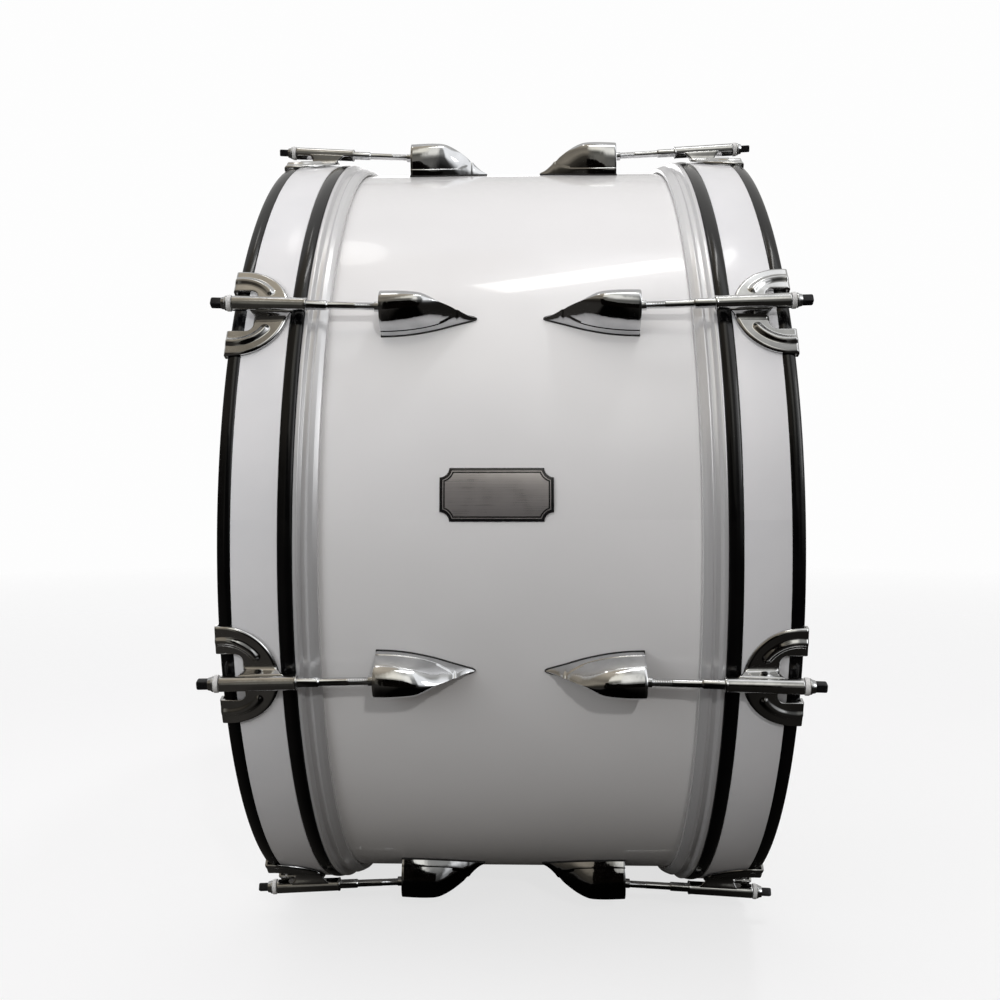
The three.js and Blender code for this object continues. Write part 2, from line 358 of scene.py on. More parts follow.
def wrap_paint():
    """White gloss wrap: a hard clear top over white, faint ripples where it is glued down, dust-fine scuffs in the gloss."""
    m, t, b = nodes_of("white_wrap")
    co, sep, angle, radius = drum_coords(t, 1.0, 0.304, 1.0)
    cloud = noise(t, co, 6, 3)
    t.links.new(tint(t, cloud, (0.80, 0.798, 0.79), (0.86, 0.857, 0.85)), b.inputs["Base Color"])
    scuff = noise(t, co, 160, 6, 0.65)
    t.links.new(spread(t, scuff, 0.16, 0.27), b.inputs["Roughness"])
    b.inputs["Specular IOR Level"].default_value = 0.5
    b.inputs["Coat Weight"].default_value = 0.55
    b.inputs["Coat Roughness"].default_value = 0.035
    b.inputs["Coat IOR"].default_value = 1.5
    slow = noise(t, co, 9, 2)
    peel = noise(t, co, 420, 2)
    n1 = bump(t, b, slow, 0.16, 0.004)
    bump(t, b, peel, 0.03, 0.0003, n1)
    return m


def lacquer():
    m, t, b = nodes_of("black_lacquer")
    co, sep, angle, radius = drum_coords(t, 1.0, 0.31, 1.0)
    cloud = noise(t, co, 22, 4)
    t.links.new(tint(t, cloud, (0.0012, 0.0012, 0.0014), (0.0036, 0.0034, 0.0034)), b.inputs["Base Color"])
    t.links.new(spread(t, noise(t, co, 300, 5), 0.12, 0.24), b.inputs["Roughness"])
    b.inputs["Specular IOR Level"].default_value = 0.30
    b.inputs["Coat Weight"].default_value = 0.35
    b.inputs["Coat Roughness"].default_value = 0.05
    n1 = bump(t, b, noise(t, co, 40, 2), 0.10, 0.0015)
    bump(t, b, noise(t, co, 500, 2), 0.03, 0.0003, n1)
    return m


def inlay_plastic():
    m, t, b = nodes_of("white_inlay")
    co, sep, angle, radius = drum_coords(t, 1.0, 0.313, 1.0)
    t.links.new(tint(t, noise(t, co, 14, 3), (0.77, 0.775, 0.785), (0.84, 0.84, 0.845)), b.inputs["Base Color"])
    t.links.new(spread(t, noise(t, co, 90, 4), 0.17, 0.26), b.inputs["Roughness"])
    b.inputs["Coat Weight"].default_value = 0.3
    b.inputs["Coat Roughness"].default_value = 0.07
    bump(t, b, noise(t, co, 18, 1), 0.06, 0.002)
    return m


def brushed_ring():
    """Satin aluminium: the rolling marks run round the drum."""
    m, t, b = nodes_of("satin_alloy")
    fine, sep, angle, radius = drum_coords(t, 2600.0, 6.0, 2600.0)
    broad, *_ = drum_coords(t, 300.0, 2.0, 300.0)
    lines = noise(t, fine, 1.0, 3)
    bands = noise(t, broad, 1.0, 2)
    both = maths(t, "ADD", maths(t, "MULTIPLY", lines, 0.55), maths(t, "MULTIPLY", bands, 0.45))
    t.links.new(tint(t, both, (0.72, 0.72, 0.725), (0.76, 0.76, 0.762), (0.35, 0.65)), b.inputs["Base Color"])
    t.links.new(spread(t, both, 0.20, 0.27), b.inputs["Roughness"])
    b.inputs["Metallic"].default_value = 0.45
    bump(t, b, lines, 0.008, 0.0002)
    return m


def head_film():
    """Smooth white drumhead film: a haze of fine coating, a little uneven, slightly see-through at the collar."""
    m, t, b = nodes_of("head_film")
    co = object_coords(t)
    cloud = noise(t, co, 5, 4)
    t.links.new(tint(t, cloud, (0.775, 0.77, 0.755), (0.835, 0.832, 0.82)), b.inputs["Base Color"])
    t.links.new(spread(t, noise(t, co, 190, 6, 0.6), 0.30, 0.48), b.inputs["Roughness"])
    b.inputs["Coat Weight"].default_value = 0.15
    b.inputs["Coat Roughness"].default_value = 0.2
    n1 = bump(t, b, noise(t, co, 3.2, 2), 0.10, 0.01)
    bump(t, b, noise(t, co, 900, 3), 0.12, 0.0003, n1)
    return m


def ply():
    """The shell's wood: thin veneers, with the grain round the drum and the glue lines showing at the cut edges."""
    m, t, b = nodes_of("shell_ply")
    grain, sep, angle, radius = drum_coords(t, 260.0, 3.0, 40.0)
    lines = noise(t, grain, 1.0, 6, 0.6, 0.4)
    layers = maths(t, "SINE", maths(t, "MULTIPLY", radius, 2 * math.pi / 0.00117))
    face = tint(t, lines, (0.33, 0.19, 0.09), (0.62, 0.43, 0.24))
    edge = tint(t, maths(t, "MULTIPLY_ADD", layers, 0.5, 0.5), (0.26, 0.14, 0.06), (0.60, 0.42, 0.24), (0.1, 0.6))
    mix = node(t, "ShaderNodeMix", {"Factor": 0.45}, data_type="RGBA")
    t.links.new(face, mix.inputs[6])
    t.links.new(edge, mix.inputs[7])
    t.links.new(mix.outputs[2], b.inputs["Base Color"])
    t.links.new(spread(t, lines, 0.45, 0.65), b.inputs["Roughness"])
    bump(t, b, lines, 0.25, 0.0004)
    return m


def dull(name, low, high, rough, scale=500.0, depth=0.0002, strength=0.15, metallic=0.0, coat=0.0):
    m, t, b = nodes_of(name)
    co = object_coords(t)
    n1 = noise(t, co, scale, 5, 0.6)
    t.links.new(tint(t, n1, low, high), b.inputs["Base Color"])
    t.links.new(spread(t, n1, *rough), b.inputs["Roughness"])
    b.inputs["Metallic"].default_value = metallic
    b.inputs["Coat Weight"].default_value = coat
    b.inputs["Coat Roughness"].default_value = 0.1
    bump(t, b, n1, strength, depth)
    return m


def badge_plate():
    """Brushed plate: the brushing runs along the badge."""
    m, t, b = nodes_of("badge_plate")
    fine, sep, angle, radius = drum_coords(t, 16.0, 0.304 * 4200.0, 16.0)
    lines = noise(t, fine, 1.0, 3)
    slow = noise(t, object_coords(t), 55, 2)
    both = maths(t, "ADD", maths(t, "MULTIPLY", lines, 0.6), maths(t, "MULTIPLY", slow, 0.4))
    t.links.new(tint(t, both, (0.60, 0.565, 0.55), (0.76, 0.725, 0.71), (0.35, 0.65)), b.inputs["Base Color"])
    t.links.new(spread(t, both, 0.24, 0.36), b.inputs["Roughness"])
    b.inputs["Metallic"].default_value = 0.80
    bump(t, b, lines, 0.05, 0.00012)
    return m


CHROME_CAST = chrome("chrome_cast", waves=0.10)
CHROME_PRESSED = chrome("chrome_pressed", low=(0.55, 0.55, 0.55), high=(0.72, 0.72, 0.715), rough=(0.05, 0.13), waves=0.08)
STEEL = chrome("rod_plate", low=(0.55, 0.555, 0.565), high=(0.70, 0.705, 0.71), rough=(0.07, 0.17), waves=0.03)
WRAP = wrap_paint()
LACQUER = lacquer()
INLAY = inlay_plastic()
ALLOY = brushed_ring()
FILM = head_film()
PLY = ply()
BADGE = badge_plate()
ENAMEL = dull("black_enamel", (0.006, 0.006, 0.007), (0.014, 0.013, 0.013), (0.16, 0.30), 300, coat=0.4)
OXIDE = dull("black_oxide", (0.010, 0.010, 0.012), (0.028, 0.028, 0.030), (0.30, 0.50), 900, metallic=0.6)
RUBBER = dull("gasket_rubber", (0.010, 0.010, 0.010), (0.022, 0.021, 0.020), (0.55, 0.75), 1500, strength=0.3)
NYLON = dull("washer_nylon", (0.62, 0.62, 0.60), (0.76, 0.76, 0.745), (0.32, 0.45), 600)
NYLON.node_tree.nodes["Principled BSDF"].inputs["Subsurface Weight"].default_value = 0.15
NYLON.node_tree.nodes["Principled BSDF"].inputs["Subsurface Radius"].default_value = (0.002, 0.002, 0.002)


# ---------------------------------------------------------------- pieces round the whole drum
def with_vent(r_out, r_in, half, name, material, nx, nt, seam=0.0):
    """A tube about the axis with a round hole through it, whose points all lie on the true cylinder."""
    hole_r, ring_n = 6.0, 3
    block = 11.0                                   # half width of the square patch that holds the hole
    b = Build()
    xs = np.linspace(-half, half, nx)
    xs = np.unique(np.concatenate([xs[abs(xs - VENT_X) > block + 3], VENT_X + np.linspace(-block, block, 9)]))
    # angles are counted in mm round the drum from the hole
    whole = 2 * math.pi * WRAP_R
    ss = np.linspace(-whole / 2, whole / 2, nt, endpoint=False)
    ss = np.concatenate([ss[abs(ss) > block + 4], np.linspace(-block, block, 9)])
    step_s = ((SEAM_AT - BRACKET_AT) / 360) * whole
    if seam:
        ss = ss[abs(ss - step_s) > 4]
        ss = np.concatenate([ss, [step_s - 0.35, step_s - 0.1, step_s + 0.1, step_s + 0.35, step_s + 2.5]])
    ss = np.sort(ss)

    def raised(s):
        if not seam:
            return np.zeros_like(s)
        d = s - step_s
        up = smooth(-0.3, 0.3, d) * (1 - smooth(20, 34, d))
        return seam * up

    def at(x, s, r):
        t = s / WRAP_R
        rr = r + (raised(s) if r > r_in + 0.1 else 0.0)
        return np.stack(np.broadcast_arrays(x, rr * np.sin(t), rr * np.cos(t)), -1)

    i0, i1 = [int(np.argmin(abs(xs - VENT_X - q))) for q in (-block, block)]
    j0, j1 = [int(np.argmin(abs(ss - q))) for q in (-block, block)]

    def inside(i, j):
        return i0 <= i < i1 and j0 <= j < j1

    X, S = np.meshgrid(xs, ss, indexing="ij")
    edge = min(0.4, (r_out - r_in) / 3)
    for r, flip in ((r_out, False), (r_in, True)):
        b.grid(at(X, S, r), wrap_v=True, flip=flip, skip=inside)
    # ends
    for x, flip in ((xs[0], True), (xs[-1], False)):
        b.grid(np.stack([at(np.full_like(ss, x), ss, r_out), at(np.full_like(ss, x), ss, r_in)]), wrap_v=True, flip=flip)
    # from the square round the hole to the circle
    loop = ([(xs[i], ss[j0]) for i in range(i0, i1)] + [(xs[i1], ss[j]) for j in range(j0, j1)]
            + [(xs[i], ss[j1]) for i in range(i1, i0, -1)] + [(xs[i0], ss[j]) for j in range(j1, j0, -1)])
    loop = np.array(loop)
    ang = np.arctan2(loop[:, 1], loop[:, 0] - VENT_X)
    circle = np.stack([VENT_X + hole_r * np.cos(ang), hole_r * np.sin(ang)], 1)
    rings = [loop + (circle - loop) * k / ring_n for k in range(ring_n + 1)]
    for r in (r_out, r_in):
        b.grid(np.stack([at(q[:, 0], q[:, 1], r) for q in rings]), wrap_v=True)
    b.grid(np.stack([at(circle[:, 0], circle[:, 1], r) for r in (r_out, r_in)]), wrap_v=True)
    return mesh_object(name, b, [material], BRACKET_AT, sharp=30)


def finish_piece(ob, body, slot, *nodes):
    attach(ob, body)
    if nodes:
        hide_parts(*nodes)
    return ob


finish_piece(with_vent(SHELL_R, SHELL_IN, SHELL_HALF, "shell_ply", PLY, 24, 128), "shell_body", "wood", "shell")
finish_piece(with_vent(WRAP_R, SHELL_R + 0.2, WRAP_HALF, "wrap", WRAP, 30, 288, seam=0.45), "shell_body", "wrap", "shell_wrap")


def side_name(left):
    return "left" if left else "right"


def hoop(left):
    side, body = side_name(left), f"{side_name(left)}_hoop_set"
    top = HOOP_R
    wood = rounded([
        (HOOP_OUT, HOOP_BORE, 1.3), (HOOP_IN, HOOP_BORE, 1.0), (HOOP_IN, top - 1.2, 1.1)]
        + [(x, top - 0.95 * ((x - 142.9) / 4.4) ** 2, 0) for x in np.linspace(139.2, 147.0, 11)]
        + [(BEAD_IN, top - 1.15, 0.0), (BEAD_IN, top - 1.8, 0.0), (BEAD_OUT, top - 1.8, 0.0), (BEAD_OUT, top - 1.15, 0.0)]
        + [(x, top - 0.95 * ((x - 181.7) / 4.0) ** 2, 0) for x in np.linspace(177.9, 185.0, 11)]
        + [(HOOP_OUT, top - 1.2, 1.1)], 6)
    b = Build()
    b.grid(ring_points(wood, 224), wrap_u=True, wrap_v=True)
    ob = mesh_object(f"hoop_wood_{side}", b, [LACQUER], 90, left, sharp=50)
    finish_piece(ob, body, "lacquer", f"hoop_{side}")

    strip = rounded([
        (BEAD_OUT - 0.12, top - 1.7, 0.1), (BEAD_IN + 0.12, top - 1.7, 0.1),
        (BEAD_IN + 0.12, top - 0.85, 0.3), ((BEAD_IN + BEAD_OUT) / 2, top - 0.65, 200), (BEAD_OUT - 0.12, top - 0.85, 0.3)], 4)
    b = Build()
    seam = 235.0 if left else 125.0        # where the strip's two ends meet, low at the back
    p = ring_points(strip, 224, seam + 0.06, seam + 359.94, closed=False)
    b.grid(p, wrap_v=True)
    for end, flip in ((p[0], True), (p[-1], False)):
        b.fan(end, end.mean(0), flip=flip)
    ob = mesh_object(f"inlay_strip_{side}", b, [INLAY], 90, left, sharp=50)
    finish_piece(ob, body, "inlay", f"hoop_inlay_{side}")


def flesh_hoop(left):
    side, body = side_name(left), f"{side_name(left)}_hoop_set"
    profile = rounded([
        (137.9, 305.4, 0.3), (122.6, 305.4, 0.4), (122.6, 308.0, 1.2), (125.6, 309.5, 1.6), (128.8, 310.6, 1.3),
        (130.6, 308.7, 0.9), (133.8, 308.7, 0.9), (135.0, 313.1, 1.0), (137.9, 313.1, 1.0)], 6)
    b = Build()
    b.grid(ring_points(profile, 224), wrap_u=True, wrap_v=True)
    ob = mesh_object(f"flesh_ring_{side}", b, [ALLOY], 90, left, sharp=50)
    finish_piece(ob, body, "alloy", f"flesh_hoop_{side}")


def head(left):
    """A flat film that bends over the bearing edge and runs down inside the flesh hoop, a little slack between the rods."""
    side, body = side_name(left), f"{side_name(left)}_hoop_set"
    thick = 0.3
    n = 256
    rr = np.concatenate([[3, 12, 30, 60, 100, 140, 180, 215, 240, 260, 273, 282, 289, 294], [297.5, 299.6]])
    face = [(153.2, r) for r in rr]
    bend_pts = [(153.2 - 5.2 * (1 - math.cos(a)), 299.9 + 5.2 * math.sin(a)) for a in np.linspace(0.12, math.pi / 2, 9)]
    down = [(x, 305.1) for x in (145, 141, 136, 130, 125.5, 123.4)]
    outer = np.array(face + bend_pts + down)
    inner = np.array([(x - thick, r) for x, r in face]
                     + [(153.2 - thick - (5.2 - thick) * (1 - math.cos(a)), 299.9 + (5.2 - thick) * math.sin(a)) for a in np.linspace(0.12, math.pi / 2, 9)]
                     + [(x, 305.1 - thick) for x, r in down])
    b = Build()
    t = 2 * math.pi * np.arange(n) / n
    rows = np.radians(90 - np.array([row_angle(k) for k in range(1, 9)]))

    def turned(profile):
        p = ring_points(profile, n)
        r = profile[:, 1]
        # the film is drawn down slightly more at each claw, which leaves a shallow scallop in the collar
        pull = np.sin(4 * (t - rows[0])) ** 2
        amount = 0.22 * smooth(270, 299, r) * (1 - smooth(303.5, 305, r))
        p[:, :, 0] += -amount[None, :] * pull[:, None]
        return p

    po, pi = turned(outer), turned(inner)
    b.grid(po, wrap_u=True)
    b.grid(pi, wrap_u=True, flip=True)
    b.grid(np.stack([po[:, -1], pi[:, -1]]), wrap_v=True)
    b.fan(po[:, 0], (153.2, 0, 0), flip=True)
    b.fan(pi[:, 0], (153.2 - thick, 0, 0))
    ob = mesh_object(f"drumhead_{side}", b, [FILM], 90, left, sharp=60)
    finish_piece(ob, body, "film", f"head_{side}")


for left in (True, False):
    hoop(left)
    flesh_hoop(left)
    head(left)


# ---------------------------------------------------------------- lugs
LUG_WIDTH = curve_through([(0, 14.0), (8, 13.75), (15, 13.2), (23, 12.1), (31, 10.5), (39, 8.5), (46.5, 6.1), (54, 3.75), (59, 2.25), (61.6, 1.45), (63.2, 0.75), (63.7, 0.3)])
LUG_TOP = curve_through([(0, 25.9), (6, 26.2), (16, 26.5), (24, 26.3), (28, 25.7), (31, 24.7), (35, 22.8), (41, 19.1), (48, 13.7), (51, 10.9), (51.35, 10.95), (54, 8.2), (60, 3.2), (63.2, 1.6), (63.7, 1.2)])
LUG_CREASE = curve_through([(0, 5.6), (34, 5.5), (39.7, 5.7), (44.3, 6.8), (47.5, 8.1), (50, 9.7), (51.2, 10.6)])
LUG_LOW = 0.9                              # the casting stands on its gasket


def lug_row(d, inset=0.0):
    """Half of the lug's section d mm from its face: (s, z) from the base edge to the ridge."""
    w, h = float(LUG_WIDTH(d)) - inset, float(LUG_TOP(d)) - inset
    k = float(smooth(25, 43, d))
    n, m = 1.95 - 0.83 * k, 2.7 - 1.0 * k
    zc = float(LUG_CREASE(d)) if d < 51.2 else 0.9 * h
    zc = min(zc, 0.93 * h)
    ledge = 0.5 * (1 - float(smooth(44, 51, d)) * 0.5) if d < 51.2 else 0.0
    ledge = min(ledge, 0.25 * w)

    def s_of(z, width):
        t = min(max(z / h, 0), 1)
        return max(width, 0.05) * max(1 - t ** m, 0) ** (1 / n)

    out = []
    low = min(LUG_LOW + inset * 0.5, 0.5 * zc)
    for z in (low, low + 0.25 * (zc - low), low + 0.6 * (zc - low), zc - 0.12 * (zc - low), zc - 0.04 * (zc - low)):
        out.append((s_of(z, w), z))
    zt = min(zc + 0.18, zc + 0.2 * (h - zc))
    if ledge > 0:
        out[-1] = (s_of(out[-1][1], w) - 0.08, out[-1][1] + 0.02)
    out.append((s_of(zt, w - ledge), zt))
    b0 = math.asin(min(zt / h, 0.999))
    for i in range(1, 15):
        t = math.sin(b0 + (math.pi / 2 - b0) * i / 14)
        out.append((s_of(t * h, w - ledge) if i < 14 else 0.0, t * h))
    return out


def lug_build():
    stations = np.concatenate([[0.0, 0.12, 0.45], np.arange(2, 36, 2.0), np.arange(36, 50, 0.9), [50.4, 51.0, 51.2001, 51.6, 52.4],
                               np.arange(53.5, 60, 1.3), [60.6, 61.6, 62.5, 63.2, 63.55, 63.7]])
    insets = {0.0: 0.45, 0.12: 0.16, 0.45: 0.0}
    loops = []
    for d in stations:
        half = lug_row(d, insets.get(float(d), 0.0))
        pts = half + [(-s, z) for s, z in reversed(half[:-1])]
        w = half[0][0]
        z0 = half[0][1]
        pts += [(-w * q, z0) for q in (0.6, 0.2, -0.2, -0.6)]
        pts = np.array(pts)
        drop = pts[:, 0] ** 2 / (2 * WRAP_R)
        share = np.clip(1 - (pts[:, 1] - z0) / 6.0, 0, 1)
        loops.append(np.stack([np.full(len(pts), LUG_FACE - d), pts[:, 0], LUG_BASE + pts[:, 1] - drop * share], -1))
    loops = np.array(loops)
    b = Build()
    b.grid(loops, wrap_v=True)
    b.fan(loops[-1], loops[-1].mean(0))
    # the flat end: from the outline to the round hole that the nut sits in
    first = loops[0]
    cz = ROD_R_AT_FACE
    ang = np.arctan2(first[:, 2] - cz, first[:, 1])
    circle = np.stack([np.full(len(first), LUG_FACE), 4.15 * np.cos(ang), cz + 4.15 * np.sin(ang)], -1)
    rings = [first + (circle - first) * q for q in (0, 0.06, 0.5, 0.93, 1.0)]
    deep = circle * [1, 1, 1] - [6.0, 0, 0]
    soft = first + (circle - first) * 1.0
    soft = circle - [0.3, 0, 0]
    soft[:, 1] *= 0.96
    soft[:, 2] = cz + (soft[:, 2] - cz) * 0.96
    deep[:, 1] *= 0.96
    deep[:, 2] = cz + (deep[:, 2] - cz) * 0.96
    b.grid(np.stack(rings + [soft, deep]), wrap_v=True)
    b.fan(deep, deep.mean(0))
    return b


def gasket_build():
    """A thin pad a hair wider than the lug's foot, laid to the wrap's curve."""
    ds = np.concatenate([[-0.35, 0.0], np.arange(3, 60, 3.0), [61, 62.5, 63.5, 64.1]])
    rows = []
    for d in ds:
        w = float(LUG_WIDTH(np.clip(d, 0, 63.7))) + 0.3
        if d > 63.7:
            w = 0.35
        rows.append([(LUG_FACE - d, s) for s in np.linspace(-w, w, 9)])
    rows = np.array(rows)
    b = Build()
    top, low = bend(rows[:, :, 0], rows[:, :, 1], 1.28), bend(rows[:, :, 0], rows[:, :, 1], 0.02)
    b.grid(top)
    b.grid(low, flip=True)
    for q in (0, -1):
        b.grid(np.stack([top[q], low[q]]))
        b.grid(np.stack([top[:, q], low[:, q]]))
    return b


def nut_build():
    """The neck of the swivel nut that stands out of the lug's face. It sits a little inward and its hole is a little
    oval, because the leaning rod drifts inward as it is unscrewed."""
    b = Build()
    p = rounded([(-4.0, 2.85, 0), (-4.0, 3.45, 0), (0.4, 3.45, 0.1), (0.6, 3.38, 0.1), (3.9, 3.33, 0.4), (3.9, 2.85, 0.25)], 3)
    stretch = np.where(p[:, 1] < 3.0, 0.27, 0.07)
    rows = []
    for t in 2 * math.pi * np.arange(36) / 36:
        rows.append(rod_frame(p[:, 0], p[:, 1] * math.sin(t), (p[:, 1] + stretch) * math.cos(t) - 0.41))
    b.grid(np.array(rows), wrap_u=True, wrap_v=True)
    return b


# ---------------------------------------------------------------- tension rods
def rod_build():
    segs = 24
    b = Build()
    r0, r1 = 2.65, 3.3
    us = [-27.0, -26.6]
    rs = [2.0, 2.45]
    # rolled thread from the tip to a little way out of the lug's nut, then a plain neck
    thread_end = 17.0
    pitch = 25.4 / 24
    tu = np.arange(-26.2, thread_end, pitch / 4)
    grid_u = np.concatenate([us, tu, [thread_end + 0.8, 34.6, 35.0, 35.5, 36.0, 60, 97.6, 98.1, 98.3]])
    base_r = np.concatenate([rs, np.full(len(tu), r0), [r0 - 0.05, r0 - 0.05, r0, r1 - 0.12, r1, r1, r1, r1, r1 - 0.2]])
    t = 2 * math.pi * np.arange(segs) / segs
    P = []
    for i in range(segs):
        phase = (grid_u / pitch - t[i] / (2 * math.pi)) % 1.0
        cut = 0.27 * (0.5 + 0.5 * np.cos(2 * math.pi * phase))
        fade = smooth(-26.6, -25.4, grid_u) * (1 - smooth(thread_end - 1.5, thread_end + 0.3, grid_u))
        r = base_r - cut * fade
        P.append(rod_frame(grid_u, r * math.sin(t[i]), r * math.cos(t[i])))
    P = np.array(P)
    b.grid(P, wrap_u=True)
    b.fan(P[:, 0], rod_frame(np.array(-27.0), np.array(0.0), np.array(0.0)))
    b.fan(P[:, -1], rod_frame(np.array(98.3), np.array(0.0), np.array(0.0)))
    # collar: a small flange outside the washer, and a cone up to the square head
    collar = rounded([(98.3, 0.6, 0), (98.3, 3.4, 0), (101.4, 3.4, 0), (101.4, 5.05, 0.3), (102.5, 5.05, 0.45), (103.1, 4.4, 0.3), (105.2, 3.95, 0.3), (105.2, 0.6, 0)], 3)
    b.grid(lathe_on_rod(collar, segs), wrap_u=True, wrap_v=True)
    # square head, dark, with eased edges and a domed end
    def square(u, half, ease):
        pts = rounded([(half, half, ease), (-half, half, ease), (-half, -half, ease), (half, -half, ease)], 5)
        return rod_frame(np.full(len(pts), u), pts[:, 0], pts[:, 1])
    rings = [square(104.6, 2.7, 0.9), square(105.0, 2.8, 0.7), (square(111.4, 2.8, 0.7)), square(112.0, 2.62, 0.8), square(112.3, 2.2, 0.8), square(112.4, 1.5, 0.7)]
    b.grid(np.stack(rings), wrap_v=True, mat=1)
    b.fan(rings[0], rod_frame(np.array(104.6), np.array(0.0), np.array(0.0)), mat=1)
    b.fan(rings[-1], rod_frame(np.array(112.4), np.array(0.0), np.array(0.0)), mat=1)
    return b


def washer_build():
    b = Build()
    p = rounded([(98.35, 3.5, 0.2), (98.35, 5.6, 0.55), (101.3, 5.6, 0.55), (101.3, 3.5, 0.2)], 4)
    b.grid(lathe_on_rod(p, 36), wrap_u=True, wrap_v=True)
    return b


# ---------------------------------------------------------------- claws
CLAW_MID = 183.0                           # the fan's arcs are drawn about this x
CLAW_R = 34.8
CLAW_THICK = 2.1
CLAW_LOW = HOOP_R + 0.3                    # radius of the plate's underside
CLAW_TOP = CLAW_LOW + CLAW_THICK
WINDOW_X, WINDOW_S, WINDOW_CORNER = 170.9, 16.5, 5.0
TIP_X = 186.4                              # the arms turn down here


def on_claw(x, s, r):
    """A point s round the drum, measured at the claw's own height, in local (x, s, r)."""
    t = np.asarray(s, float) / CLAW_TOP
    return np.stack(np.broadcast_arrays(x, r * np.sin(t), r * np.cos(t)), -1)


def claw_relief(x, s):
    """Height pressed into the plate at (x, s), in mm."""
    u = np.abs(s)
    rho = np.hypot(x - CLAW_MID, s)
    a = np.degrees(np.arctan2(u, CLAW_MID - x))      # 0 straight inwards, 90 along the hoop's edge
    # an arched rib each side, from the hoop's edge round to a blunt end beside the cradle
    first, mid_r = 37.0, 25.3
    ex, es = CLAW_MID - mid_r * math.cos(rad(first)), mid_r * math.sin(rad(first))
    off = np.where(a >= first, np.abs(rho - mid_r), np.hypot(x - ex, u - es))
    z = 1.75 * np.cos(np.clip(off / 3.5, 0, 1) * math.pi / 2) ** 1.6
    # the fan's border is turned down in a round edge
    inset = np.where(x < CLAW_MID, CLAW_R - rho, CLAW_R - u)
    e = np.clip(inset, 0, 2.3)
    z = z - (2.0 - 2.0 * np.sqrt(np.clip(1 - (1 - e / 2.3) ** 2, 0, 1)))
    # eased edge round the window
    gx, gs = np.maximum(WINDOW_X - x, 0), np.maximum(u - WINDOW_S, 0)
    cx, cs = WINDOW_X + WINDOW_CORNER, WINDOW_S - WINDOW_CORNER
    corner = np.hypot(np.minimum(x - cx, 0), np.maximum(u - cs, 0)) - WINDOW_CORNER
    near = np.where((x < cx) & (u > cs), corner, np.where(x < cx, gx, gs))
    k = np.clip(near, 0, 0.8)
    z = z - (0.6 - 0.6 * np.sqrt(np.clip(1 - (1 - k / 0.8) ** 2, 0, 1)))
    return z


